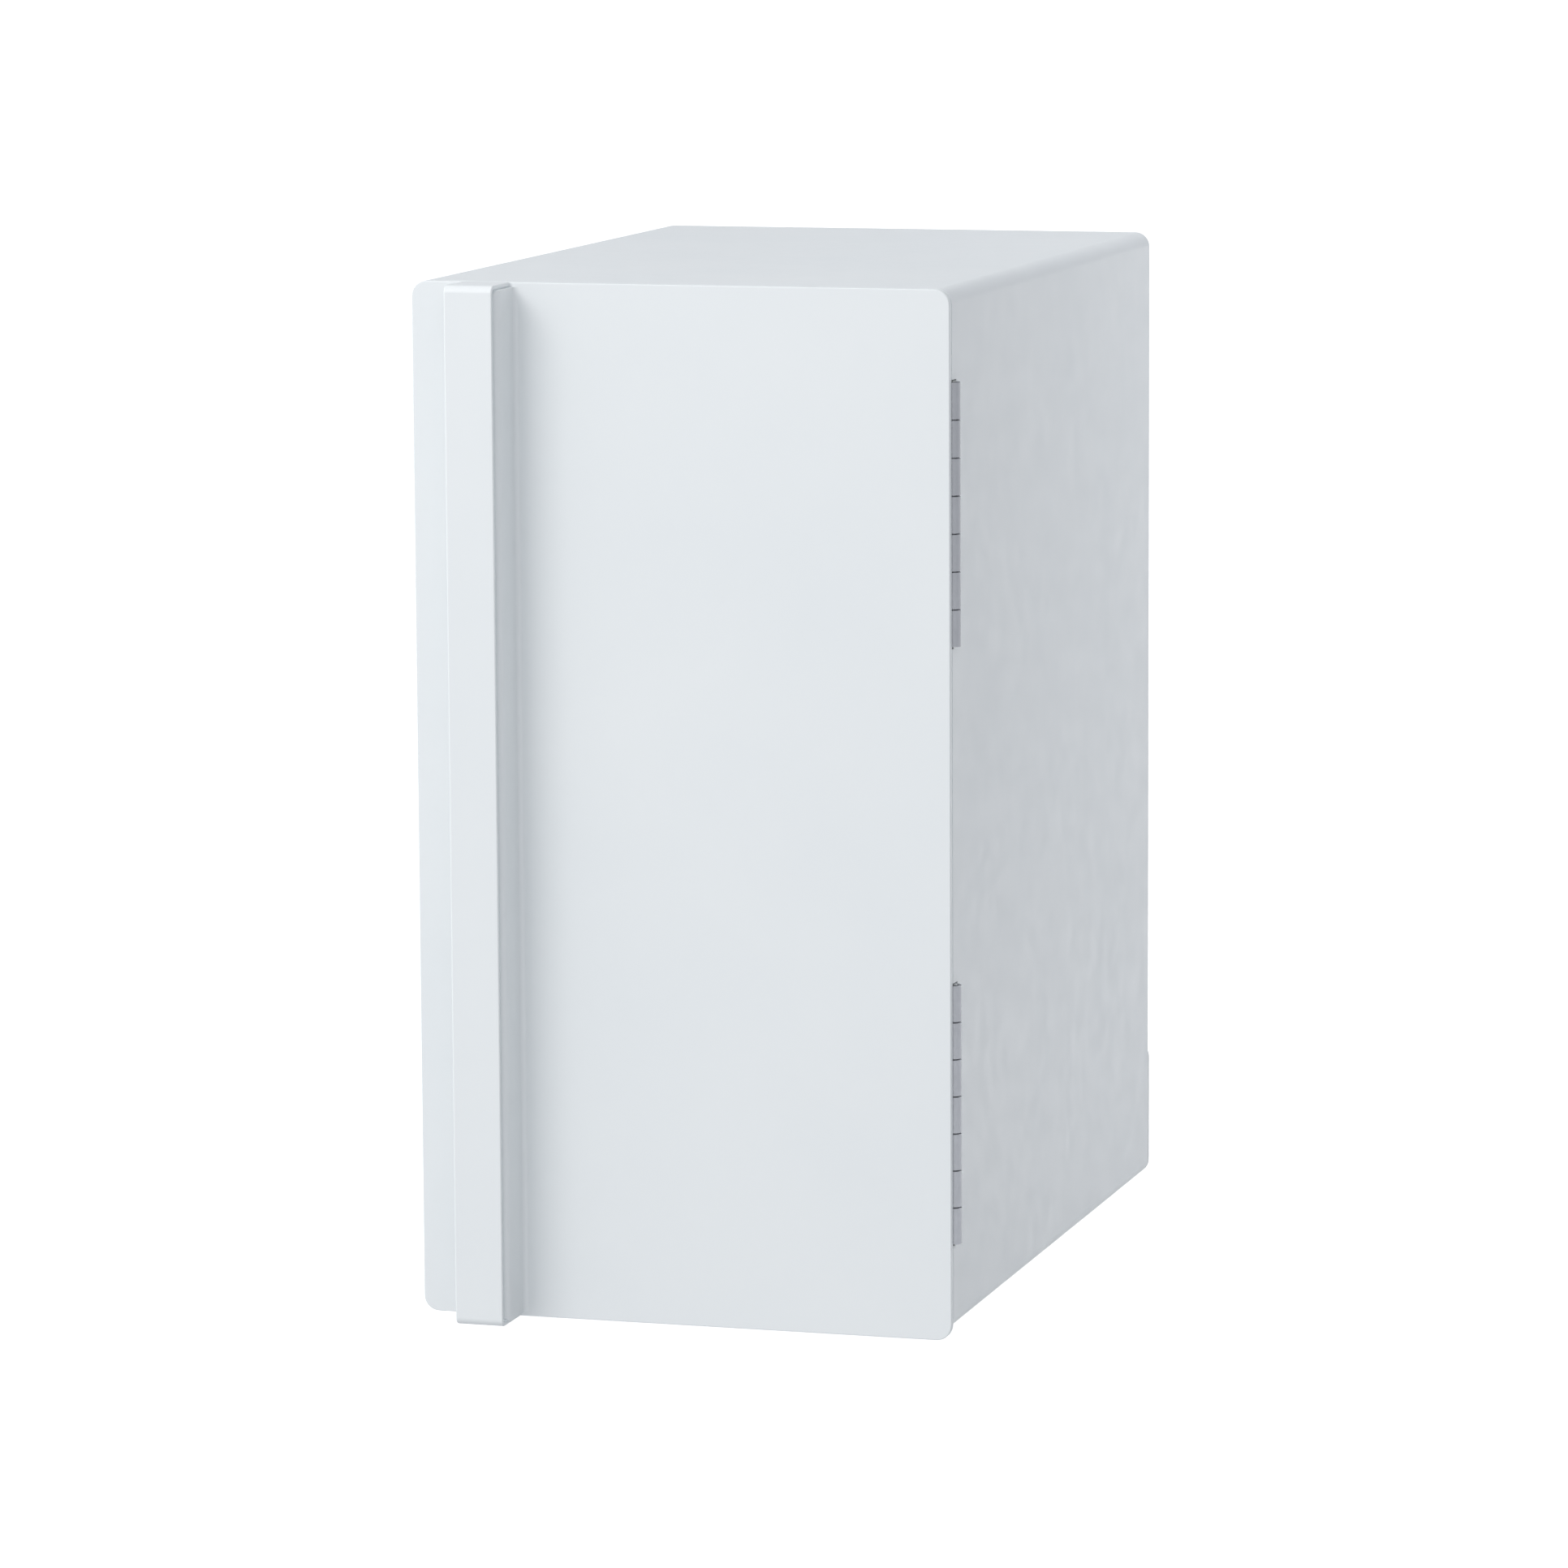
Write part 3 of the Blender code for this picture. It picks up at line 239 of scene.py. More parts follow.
def circuit_board():
    """Glass-epoxy board: green solder mask over copper tracks about 2 mm apart."""
    made, tree, shader = surface("green_solder_mask", IOR=1.55, Roughness=0.3)
    place = add(tree, "ShaderNodeTexCoord").outputs["Object"]
    settings = {"Scale": per_mm(2.4), "distance": "CHEBYCHEV", "feature": "F1", "Randomness": 0.6}
    tracks = add(tree, "ShaderNodeTexVoronoi", settings, {"Vector": place}).outputs["Distance"]
    steps = {"From Min": 0.24, "From Max": 0.3}
    lifted = add(tree, "ShaderNodeMapRange", steps, {"Value": tracks}).outputs["Result"]
    dress(tree, shader, (lifted, "#2E7A4C", "#1B5334"), reliefs=[(lifted, -0.035, 0.8)])
    return made


def nitrile_rubber():
    """Moulded nitrile rubber: deep grey, dull, with a bloom of fine dust."""
    made, tree, shader = surface("black_nitrile_rubber", IOR=1.52, Roughness=0.8, Sheen_Weight=0.15)
    colour = (mottle(tree, 5, 4.0), "#1A1A1B", "#29292A")
    gloss = (mottle(tree, 2), 0.7, 0.88)
    dress(tree, shader, colour, gloss, [(mottle(tree, 0.5), 0.03, 0.5)])
    return made


def clear_styrene():
    """Clear polystyrene moulding: glassy, with the faintest swirl from the gate."""
    made, tree, shader = surface("clear_polystyrene", IOR=1.59, Roughness=0.06, Transmission_Weight=0.94)
    swirl = mottle(tree, 18, 3.0)
    dress(tree, shader, (swirl, "#EDF5F7", "#F6FAFB"), (swirl, 0.04, 0.1), [(swirl, 0.05, 0.2)])
    return made


def coated_wire():
    """Steel wire dipped in white epoxy: glossy, thicker where drops ran."""
    made, tree, shader = surface("white_dipped_wire", IOR=1.5, Roughness=0.24, Coat_Weight=0.3)
    runs = mottle(tree, 5)
    dress(tree, shader, (runs, "#EBEEEE", "#F2F4F4"), (runs, 0.18, 0.25), [(runs, 0.12, 0.4)])
    return made


def wire_insulation(name, dark, light):
    """PVC wire insulation: slick, with a faint extrusion ripple."""
    made, tree, shader = surface(name, IOR=1.53, Roughness=0.4)
    ripple = mottle(tree, 1.5)
    dress(tree, shader, (ripple, dark, light), (ripple, 0.34, 0.48), [(ripple, 0.02, 0.4)])
    return made


def opal_polycarbonate():
    """Opal polycarbonate lamp lens: milky, a little light through it, prisms of 1 mm moulded in."""
    made, tree, shader = surface("opal_polycarbonate", IOR=1.58, Roughness=0.3, Transmission_Weight=0.35)
    place = add(tree, "ShaderNodeTexCoord").outputs["Object"]
    settings = {"Scale": per_mm(1.0) / math.tau * 2, "bands_direction": "Z"}
    prisms = add(tree, "ShaderNodeTexWave", settings, {"Vector": place}).outputs["Fac"]
    dress(tree, shader, (prisms, "#EFEFE8", "#F8F8F3"), reliefs=[(prisms, 0.15, 0.5)])
    return made


def laminated_steel():
    """Transformer core: varnished steel laminations 0.5 mm thick, drawn as coarse as 1 mm, on edge."""
    made, tree, shader = surface("laminated_core_steel", Metallic=0.8, Roughness=0.5)
    place = add(tree, "ShaderNodeTexCoord").outputs["Object"]
    settings = {"Scale": per_mm(1.0) / math.tau * 2, "bands_direction": "Y"}
    sheets = add(tree, "ShaderNodeTexWave", settings, {"Vector": place}).outputs["Fac"]
    dress(tree, shader, (sheets, "#5A5C60", "#85878A"), reliefs=[(sheets, 0.1, 0.6)])
    return made


def winding_tape():
    """Polyester tape over the transformer's winding: amber yellow, with lapped edges every 6 mm."""
    made, tree, shader = surface("amber_winding_tape", IOR=1.6, Roughness=0.3)
    place = add(tree, "ShaderNodeTexCoord").outputs["Object"]
    settings = {"Scale": per_mm(6.0) / math.tau * 2, "bands_direction": "Z", "wave_profile": "SAW"}
    laps = add(tree, "ShaderNodeTexWave", settings, {"Vector": place}).outputs["Fac"]
    dress(tree, shader, (laps, "#C98A1C", "#D9A032"), reliefs=[(laps, 0.1, 0.5)])
    return made


def seamless_paper():
    """Matt seamless paper for the floor and the wall behind: plain, pale and evenly bright."""
    made, tree, shader = surface("pale_paper", IOR=1.45, Roughness=0.9, Emission_Strength=0.75)
    shader.inputs["Emission Color"].default_value = linear("#FFFFFF")
    dress(tree, shader, (mottle(tree, 400), "#F8F8F8", "#FBFBFB"))
    return made


POWDER = powder_coat()
MOULDED = moulded_abs()
HIPS = thermoformed_hips()
SEAL = soft_pvc()
FOAM = rigid_foam()
ALUMINIUM = extruded_aluminium()
CERAMIC = alumina()
BLACK = black_abs()
ZINC = zinc_plate()
SATIN = satin_zinc()
BOARD = circuit_board()
RUBBER = nitrile_rubber()
CLEAR = clear_styrene()
DIPPED = coated_wire()
RED_WIRE = wire_insulation("red_wire_insulation", "#9C1B17", "#B2241E")
BLACK_WIRE = wire_insulation("black_wire_insulation", "#161617", "#222224")
OPAL = opal_polycarbonate()
CORE = laminated_steel()
TAPE = winding_tape()
PAPER = seamless_paper()


# ---------------------------------------------------------------- shapes


def arc(centre, radius, start, end, steps):
    """Points on an arc, angles in degrees."""
    angles = [math.radians(start + (end - start) * i / steps) for i in range(steps + 1)]
    return [(centre[0] + radius * math.cos(a), centre[1] + radius * math.sin(a)) for a in angles]


def circle(centre, radius, steps):
    """Points round a whole circle."""
    return arc(centre, radius, 0, 360, steps)[:-1]


def rounded(u0, v0, u1, v1, radius, steps=12):
    """A rectangle's outline with round corners, counter-clockwise."""
    r = radius
    corners = [(u1 - r, v0 + r, -90), (u1 - r, v1 - r, 0), (u0 + r, v1 - r, 90), (u0 + r, v0 + r, 180)]
    return [p for u, v, a in corners for p in arc((u, v), r, a, a + 90, steps)]


def placed(outline, axis, height):
    """A flat outline at a height along an axis. It spans the other two axes in X, Y, Z order."""
    if axis == "X":
        return [(height, u, v) for u, v in outline]
    if axis == "Y":
        return [(u, height, v) for u, v in outline]
    return [(u, v, height) for u, v in outline]


def loft(loops, ring=False):
    """One closed body through loops of equal length: capped at both ends, or closed on itself."""
    bm = bmesh.new()
    rows = [[bm.verts.new(p) for p in loop] for loop in loops]
    pairs = list(zip(rows, rows[1:]))
    if ring:
        pairs.append((rows[-1], rows[0]))
    else:
        bm.faces.new(rows[0])
        bm.faces.new(rows[-1])
    count = len(rows[0])
    for low, high in pairs:
        for i in range(count):
            j = (i + 1) % count
            bm.faces.new((low[i], low[j], high[j], high[i]))
    bmesh.ops.recalc_face_normals(bm, faces=bm.faces)
    return bm


def prism(outline, axis, start, end):
    """A flat outline drawn out along an axis."""
    return loft([placed(outline, axis, start), placed(outline, axis, end)])


def block(low, high, radius=0.0, axis="Z"):
    """A box, with its four edges along an axis rounded if a radius is given."""
    u, v, w = {"X": (1, 2, 0), "Y": (0, 2, 1), "Z": (0, 1, 2)}[axis]
    if radius:
        outline = rounded(low[u], low[v], high[u], high[v], radius, 6)
    else:
        outline = [(low[u], low[v]), (high[u], low[v]), (high[u], high[v]), (low[u], high[v])]
    return prism(outline, axis, low[w], high[w])


def turned(centre, profile, axis, steps=48):
    """A solid of revolution from (radius, height) pairs, with flat ends."""
    return loft([placed(circle(centre, r, steps), axis, h) for r, h in profile])


def pipe_ring(centre, profile, axis, steps=48):
    """A hollow solid of revolution, closed on itself."""
    return loft([placed(circle(centre, r, steps), axis, h) for r, h in profile], ring=True)


def around(profile, low, high, radius, steps=12, ring=True):
    """A section carried round an upright rounded rectangle between two corners. It is (inset, y)
    pairs: an inset also tightens the corner, unless a pair has a corner radius as a third value."""
    loops = []
    for inset, y, *own in profile:
        r = own[0] if own else max(radius - inset, 0.6)
        outline = rounded(low[0] + inset, low[1] + inset, high[0] - inset, high[1] - inset, r, steps)
        loops.append(placed(outline, "Y", y))
    return loft(loops, ring)


def eased(profile, ease, steps=3):
    """A closed section with each convex or concave corner rounded off by up to this much."""
    count = len(profile)
    result = []
    for i in range(count):
        here = Vector(profile[i])
        before, after = Vector(profile[i - 1]), Vector(profile[(i + 1) % count])
        cut = min(ease, (before - here).length * 0.45, (after - here).length * 0.45)
        start, end = here + (before - here).normalized() * cut, here + (after - here).normalized() * cut
        for s in range(steps + 1):
            t = s / steps
            result.append(tuple(start * (1 - t) ** 2 + here * 2 * t * (1 - t) + end * t**2))
    return result


def sweep(path, radius, steps=10, closed=False):
    """A round rod along a list of points."""
    points = [Vector(p) for p in path]
    count = len(points)
    loops = []
    side = None
    for i, point in enumerate(points):
        after = points[(i + 1) % count] if closed or i + 1 < count else point
        before = points[i - 1] if closed or i > 0 else point
        along = (after - before).normalized()
        if side is None:
            side = along.orthogonal().normalized()
        side = (side - along * side.dot(along)).normalized()
        across = along.cross(side)
        turns = [math.tau * k / steps for k in range(steps)]
        loops.append([point + (side * math.cos(a) + across * math.sin(a)) * radius for a in turns])
    return loft(loops, ring=closed)


def turn_about(body, degrees, axis, centre):
    """Turns a body about a line through a centre."""
    spin = Matrix.Rotation(math.radians(degrees), 4, axis)
    matrix = Matrix.Translation(centre) @ spin @ Matrix.Translation(-Vector(centre))
    bmesh.ops.transform(body, matrix=matrix, verts=body.verts)
    return body


def together(bodies):
    """Several loose bodies as one."""
    joined = bmesh.new()
    for body in bodies:
        mesh = bpy.data.meshes.new("loose")
        body.to_mesh(mesh)
        body.free()
        joined.from_mesh(mesh)
        bpy.data.meshes.remove(mesh)
    return joined


def raw_object(name, bodies):
    """A new object in the row's frame, from bodies drawn in design millimetres."""
    body = together(bodies)
    bmesh.ops.transform(body, matrix=TO_ROW, verts=body.verts)
    mesh = bpy.data.meshes.new(name)
    body.to_mesh(mesh)
    body.free()
    made = bpy.data.objects.new(name, mesh)
    bpy.context.scene.collection.objects.link(made)
    return made


def settle(obj):
    """Bakes an object's modifiers into its mesh."""
    seen = obj.evaluated_get(bpy.context.evaluated_depsgraph_get())
    mesh = bpy.data.meshes.new_from_object(seen)
    obj.modifiers.clear()
    old = obj.data
    obj.data = mesh
    bpy.data.meshes.remove(old)


def carve(obj, bodies, operation="DIFFERENCE"):
    """Cuts bodies from an object, or joins them to it."""
    helper = raw_object("helper", bodies)
    step = obj.modifiers.new("shape", "BOOLEAN")
    step.operation = operation
    step.object = helper
    settle(obj)
    mesh = helper.data
    bpy.data.objects.remove(helper)
    bpy.data.meshes.remove(mesh)


def soften(obj, width_mm, segments=2, angle=35):
    """Rounds the edges that turn by more than an angle, before the shading is evened out."""
    step = obj.modifiers.new("edges", "BEVEL")
    step.width = width_mm * MM
    step.segments = segments
    step.limit_method = "ANGLE"
    step.angle_limit = math.radians(angle)
    step.use_clamp_overlap = True
    obj.modifiers.move(len(obj.modifiers) - 1, 0)


def smooth(obj, angle=35):
    """Smooth shading that keeps real edges sharp and large flats flat."""
    obj.data.shade_smooth()
    obj.data.set_sharp_from_angle(angle=math.radians(angle))
    step = obj.modifiers.new("flats", "WEIGHTED_NORMAL")
    step.weight = 100
    step.keep_sharp = True


def finish_piece(obj, finish, body, stands_for=(), edge=0.0, segments=2, edge_turn=35, turn=35):
    """Smooths a shaped piece and rounds its edges, then gives it its material and its body,
    and hides the nodes that it stands for."""
    smooth(obj, turn)
    if edge:
        soften(obj, edge, segments, edge_turn)
    obj.data.materials.clear()
    obj.data.materials.append(finish)
    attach(obj, body)
    if stands_for:
        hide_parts(*stands_for)


def piece(name, bodies, finish, body, stands_for=(), joins=(), edge=0.0, segments=2):
    """One finished piece from one or more bodies, with any others joined to it."""
    made = raw_object(name, bodies)
    for more in joins:
        carve(made, [more], "UNION")
    finish_piece(made, finish, body, stands_for, edge, segments)


# ---------------------------------------------------------------- camera, light and floor


def camera():
    """Long lens a little above the fridge and to its right, with no shift. Its distance is in door
    heights, from the foot of the door's front."""
    plate_low, plate_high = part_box("door_plate")
    away = Vector((2.013, -6.468, 1.512))
    height = plate_high.z - plate_low.z
    start = Vector(((plate_low.x + plate_high.x) / 2, plate_low.y, plate_low.z))
    data = bpy.data.cameras.new("camera")
    data.sensor_width = 36.0
    data.lens = 165.4
    data.clip_end = 200.0
    made = bpy.data.objects.new("camera", data)
    bpy.context.scene.collection.objects.link(made)
    yaw, pitch, roll = (math.radians(a) for a in (16.46, 8.29, 0.31))
    ahead = Vector((-math.sin(yaw) * math.cos(pitch), math.cos(yaw) * math.cos(pitch), -math.sin(pitch)))
    right = Vector((math.cos(yaw), math.sin(yaw), 0))
    down = ahead.cross(right)
    tilted = right * math.cos(roll) + down * math.sin(roll)
    up = right * math.sin(roll) - down * math.cos(roll)
    turn = Matrix((tilted, up, -ahead)).transposed().to_4x4()
    made.matrix_world = Matrix.Translation(start + away * height) @ turn
    bpy.context.scene.camera = made


def softbox(name, place, aim, size, watts, tint, mirrored=True):
    """An area light that the camera doesn't see, and that gloss may or may not mirror."""
    data = bpy.data.lights.new(name, "AREA")
    data.shape = "RECTANGLE"
    data.size, data.size_y = size
    data.energy = watts
    data.color = linear(tint)[:3]
    made = bpy.data.objects.new(name, data)
    bpy.context.scene.collection.objects.link(made)
    made.location = place
    made.visible_camera = False
    made.visible_glossy = mirrored
    made.rotation_mode = "QUATERNION"
    made.rotation_quaternion = (Vector(aim) - Vector(place)).to_track_quat("-Z", "Y")


def surround():
    """An even pale room, brightest at the front left and dimmest at the right rear."""
    world = bpy.data.worlds.new("surround")
    bpy.context.scene.world = world
    world.use_nodes = True
    tree = world.node_tree
    ahead = add(tree, "ShaderNodeTexCoord").outputs["Generated"]
    diagonal = (0, -math.pi / 4, -math.pi / 4)
    settings = {"Location": (0.5, 0, 0), "Rotation": diagonal, "Scale": (0.5, 0.5, 0.5)}
    turned_way = add(tree, "ShaderNodeMapping", settings, {"Vector": ahead}).outputs["Vector"]
    across = add(tree, "ShaderNodeTexGradient", {}, {"Vector": turned_way}).outputs["Fac"]
    settings = {"data_type": "RGBA", 6: linear("#F2F4F7"), 7: linear("#6E7278")}
    shade = add(tree, "ShaderNodeMix", settings, {0: across}).outputs[2]
    tree.links.new(shade, tree.nodes["Background"].inputs["Color"])
    tree.nodes["Background"].inputs["Strength"].default_value = 1.0


def studio():
    """A large soft key at the front left, small banks at the right rear and left, and one overhead."""
    softbox("key", (-0.65, -1.2, 1.2), (0, 0, 0.3), (0.7, 0.7), 7.2, "#FFFEFC")
    softbox("side", (0.62, 0.45, 0.62), (0.1, 0.05, 0.35), (0.4, 0.4), 1.2, "#FBFCFF")
    softbox("edge", (-1.1, -0.13, 0.5), (0, -0.13, 0.25), (0.2, 0.6), 2.0, "#FBFCFF")
    softbox("overhead", (-0.1, 0.2, 1.9), (0, 0, 0.3), (1.4, 1.2), 2.6, "#FBFCFF", mirrored=False)
    surround()
    bpy.context.scene.view_settings.view_transform = "Standard"
    bpy.context.scene.view_settings.look = "None"


def paper(name, corners, faces):
    """A sheet of the studio's pale paper, which throws no light back at the object."""
    mesh = bpy.data.meshes.new(name)
    mesh.from_pydata(corners, [], faces)
    mesh.materials.append(PAPER)
    made = bpy.data.objects.new(name, mesh)
    bpy.context.scene.collection.objects.link(made)
    made.visible_diffuse = False
    return made


def floor():
    """A wide sheet under the feet."""
    reach = 60.0
    corners = [(-reach, -reach, 0), (reach, -reach, 0), (reach, reach, 0), (-reach, reach, 0)]
    paper("floor", corners, [(0, 1, 2, 3)])


def backdrop():
    """A paper wall all round, so that low views have no dark horizon. It isn't mirrored in gloss."""
    distance, height, steps = 18.0, 14.0, 96
    corners = [(x, y, z) for z in (0.0, height) for x, y in circle((0, 0), distance, steps)]
    faces = [(i, (i + 1) % steps, steps + (i + 1) % steps, steps + i) for i in range(steps)]
    made = paper("backdrop", corners, faces)
    made.visible_glossy = False
    made.visible_shadow = False


# ---------------------------------------------------------------- door


PLATE_LOW, PLATE_HIGH = span("door_plate")
SLEEVE_HALF = 106.0
STEEL_T = 1.2
CORNER_R = 6.0
LINER_R = 3.5
LINER_INSET = 25.0


def flat(low, high):
    """The two corners of a box as (x, z) pairs, for around()."""
    return (low.x, low.z), (high.x, high.z)


def sleeve_corners():
    """The sleeve's outline from the front, as two (x, z) corners."""
    low, high = span("cabinet_shell")
    return (-SLEEVE_HALF, low.z), (SLEEVE_HALF, high.z)


def door_plate():
    """Flat 3 mm steel plate with round corners and lightly broken edges."""
    low, high = flat(PLATE_LOW, PLATE_HIGH)
    y0, y1 = PLATE_LOW.y, PLATE_HIGH.y
    ease = 0.45
    front = [(ease - x, y0 + ease - y) for x, y in arc((0, 0), ease, 0, 90, 4)]
    back = [(i, y0 + y1 - y) for i, y in reversed(front)]
    section = list(reversed(front)) + list(reversed(back))
    sheet = around(section, low, high, CORNER_R, steps=16, ring=False)
    piece("door_plate_sheet", [sheet], POWDER, "door", ["door_plate"])


def bent_ends(y_front, z0, z1, radius, y_root, steps=12):
    """Section of a strip's one face: out at the bottom, up the front and back at the top."""
    low = arc((y_front + radius, z0 + radius), radius, 270, 180, steps)
    high = arc((y_front + radius, z1 - radius), radius, 180, 90, steps)
    return [(y_root, z0)] + low + high + [(y_root, z1)]


WEB_BEND = 3.0
WEB_FOOT_R = 2.0


def web_section(x1, y_front):
    """The web from above: a return behind the strip, a wide bend, and a fillet at the door."""
    sheet, tip = 1.0, WEB_BEND + 0.6
    centre = (x1 - WEB_BEND, y_front + WEB_BEND)
    bend = arc(centre, WEB_BEND, -90, 0, 16)
    foot = arc((x1 + WEB_FOOT_R, -WEB_FOOT_R - 0.02), WEB_FOOT_R, 180, 95, 10)
    inside = arc(centre, WEB_BEND - sheet, 0, -90, 12)
    back = [(x1 + WEB_FOOT_R, -0.02), (x1 - sheet, -0.02)]
    return [(x1 - tip, y_front)] + bend + foot + back + inside + [(x1 - tip, y_front + sheet)]


def pull():
    """The tall handle: a strip bent back at both ends, and the web that closes its right side.
    A groove runs between them up the front, and a band behind the strip closes it."""
    low, high = span("handle_channel")
    root, sheet, bend = high.y, 1.5, 3.0
    outer = bent_ends(low.y, low.z, high.z, bend, root)
    inner = bent_ends(low.y + sheet, low.z + sheet, high.z - sheet, bend - sheet, root)
    strip = prism(outer + inner[::-1], "X", low.x, high.x)
    web_low, web_high = span("handle_web")
    x1 = web_high.x - WEB_BEND - 0.7
    backing = block((x1 - 1.2, low.y + sheet - 0.4, web_low.z + 2), (x1, web_low.y + 1.5, web_high.z - 2))
    piece(
        "handle_strip", [strip], POWDER, "door", ["handle_channel"],
        joins=[backing], edge=0.45, segments=3,
    )
    section = web_section(web_high.x, web_low.y)
    web = raw_object("handle_side_web", [prism(section, "Z", web_low.z, web_high.z)])
    face = bent_ends(web_low.y - 0.01, web_low.z + 0.01, web_high.z - 0.01, 2.2, 1.0)
    carve(web, [prism(face, "X", web_low.x - 10, web_high.x + 10)], "INTERSECT")
    finish_piece(web, POWDER, "door", ["handle_web"])


def inner_door():
    """Thermoformed inner door: flange, tapered plug with soft edges, and a shallow raised field."""
    low, high = span("inner_door_panel")
    flange = low.x + SLEEVE_HALF
    plug, wall, draft = 29.0, 1.5, 1.0
    y0, y1 = low.y, high.y
    tip = plug + draft
    crown = [(tip + 4 - x, y1 - 4 + y) for x, y in arc((0, 0), 4.0, 0, 90, 8)]
    section = [
        (tip + wall, y1 - 6.0),
        (plug + wall, y0),
        (flange, y0, 8.0),
        (flange, y0 + wall - 0.4, 8.0),
        (flange + 0.4, y0 + wall, 8.0),
        (plug - 1.5, y0 + wall),
        (plug - 0.4, y0 + wall + 0.4),
        (plug, y0 + wall + 1.5),
    ] + crown + [(tip + 16.0, y1), (tip + 18.0, y1 - 1.5), (tip + 24.0, y1 - 1.5)]
    shell = around(section, *sleeve_corners(), 38.0, steps=10, ring=False)
    piece("inner_door_shell", [shell], HIPS, "door", ["inner_door_panel"])


def seal():
    """Magnetic door seal: a magnet pocket with rounded edges, on a bellows waist."""
    low, high = span("door_gasket")
    near = low.x + SLEEVE_HALF
    far = near + 11.0
    y0, y1 = low.y, high.y
    bellows = [(2.6, 2.0), (1.2, 2.8), (2.6, 3.5), (0.5, 4.4)]
    outside = [(far, y0), (far, y0 + 1.2)] + [(far - inset, y0 + y) for inset, y in bellows]
    inside = [(near + inset, y0 + y) for inset, y in reversed(bellows)] + [(near, y0 + 1.2)]
    section = [(near, y0)] + outside + [(far - 0.5, y1), (near + 0.5, y1)] + inside
    ring = around(eased(section, 0.5), *sleeve_corners(), 22.0, steps=8)
    piece("door_seal", [ring], SEAL, "door", ["door_gasket"])


def door_bins():
    """Clear bins with thin walls, a rolled rim and round corners."""
    for name in ("lower_door_bin", "upper_door_bin"):
        low, high = span(name)
        wall = 2.0
        section = [
            (wall + 3.0, low.z + wall),
            (wall + 0.8, low.z + wall + 0.8),
            (wall, low.z + wall + 3.0),
            (wall, high.z - 2.0),
            (wall + 0.4, high.z - 0.8),
            (wall - 0.2, high.z - 0.1),
            (0.8, high.z),
            (0.1, high.z - 0.8),
            (0.0, high.z - 3.4),
            (0.6, high.z - 4.2),
            (0.6, low.z + 3.4),
            (1.4, low.z + 1.0),
            (3.4, low.z),
        ]
        loops = []
        for inset, z in section:
            r = max(9.0 - inset, 1.0)
            outline = rounded(low.x + inset, low.y + inset, high.x - inset, high.y - inset, r, 10)
            loops.append(placed(outline, "Z", z))
        piece(f"{name}_moulding", [loft(loops)], CLEAR, "door", [name])


# ---------------------------------------------------------------- hinges


KNUCKLES = 7
KNUCKLE_R = 3.0
PIN_BORE_R = 1.6
LEAF_T = 1.2


def barrel(axis, z0, z1):
    """A rolled knuckle with broken edges, bored for the pin."""
    r, bore, ease = KNUCKLE_R, PIN_BORE_R, 0.18
    profile = [
        (bore, z0 + ease),
        (bore, z1 - ease),
        (bore + ease, z1),
        (r - ease, z1),
        (r, z1 - ease),
        (r, z0 + ease),
        (r - ease, z0),
        (bore + ease, z0),
    ]
    return pipe_ring(axis, profile, "Z", 40)


def knuckles(z0, z1, first):
    """The heights of every other knuckle, with a fine gap between neighbours."""
    pitch, gap = (z1 - z0) / KNUCKLES, 0.12
    return [(z0 + pitch * i + gap, z0 + pitch * (i + 1) - gap) for i in range(first, KNUCKLES, 2)]


def hinges():
    """Seven-knuckle butt hinges in satin zinc, on bright pins with domed ends."""
    for side in ("upper", "lower"):
        pin = f"{side}_hinge_pin"
        low, high = span(pin)
        leaves = [span(f"{side}_hinge_{leaf}_leaf") for leaf in ("door", "cabinet")]
        z0 = min(leaf[0].z for leaf in leaves)
        z1 = max(leaf[1].z for leaf in leaves)
        axis = plan_centre(pin)
        door_hinge_leaf(side, axis, z0, z1)
        cabinet_hinge_leaf(side, axis, z0, z1)
        r = (high.x - low.x) / 2
        turns = [math.radians(a) for a in (0, 30, 60, 80)]
        dome = [(r * math.cos(a), high.z - 0.5 + 0.5 * math.sin(a)) for a in turns]
        foot = [(radius, low.z + high.z - z) for radius, z in reversed(dome)]
        rod = turned(axis, foot + dome, "Z", 32)
        piece(f"{pin}_rod", [rod], ZINC, "cabinet", [pin])


def door_hinge_leaf(side, axis, z0, z1):
    """The door's leaf: a flat plate with room for the other leaf's knuckles, and three of its own."""
    low = span(f"{side}_hinge_door_leaf")[0]
    y0, x0, clear = low.y, axis[0] - 3.5, 0.3
    made = raw_object(f"{side}_hinge_door_plate", [block((low.x, y0, z0), (axis[0], y0 + LEAF_T, z1))])
    others = knuckles(z0, z1, 0)
    carve(made, [block((x0, y0 - 1, a - clear), (axis[0] + 1, y0 + 3, b + clear)) for a, b in others])
    carve(made, [barrel(axis, a, b) for a, b in knuckles(z0, z1, 1)], "UNION")
    carve(made, [turned(axis, [(PIN_BORE_R, z0 - 1), (PIN_BORE_R, z1 + 1)], "Z", 40)])
    finish_piece(made, SATIN, "door", [f"{side}_hinge_door_leaf"])


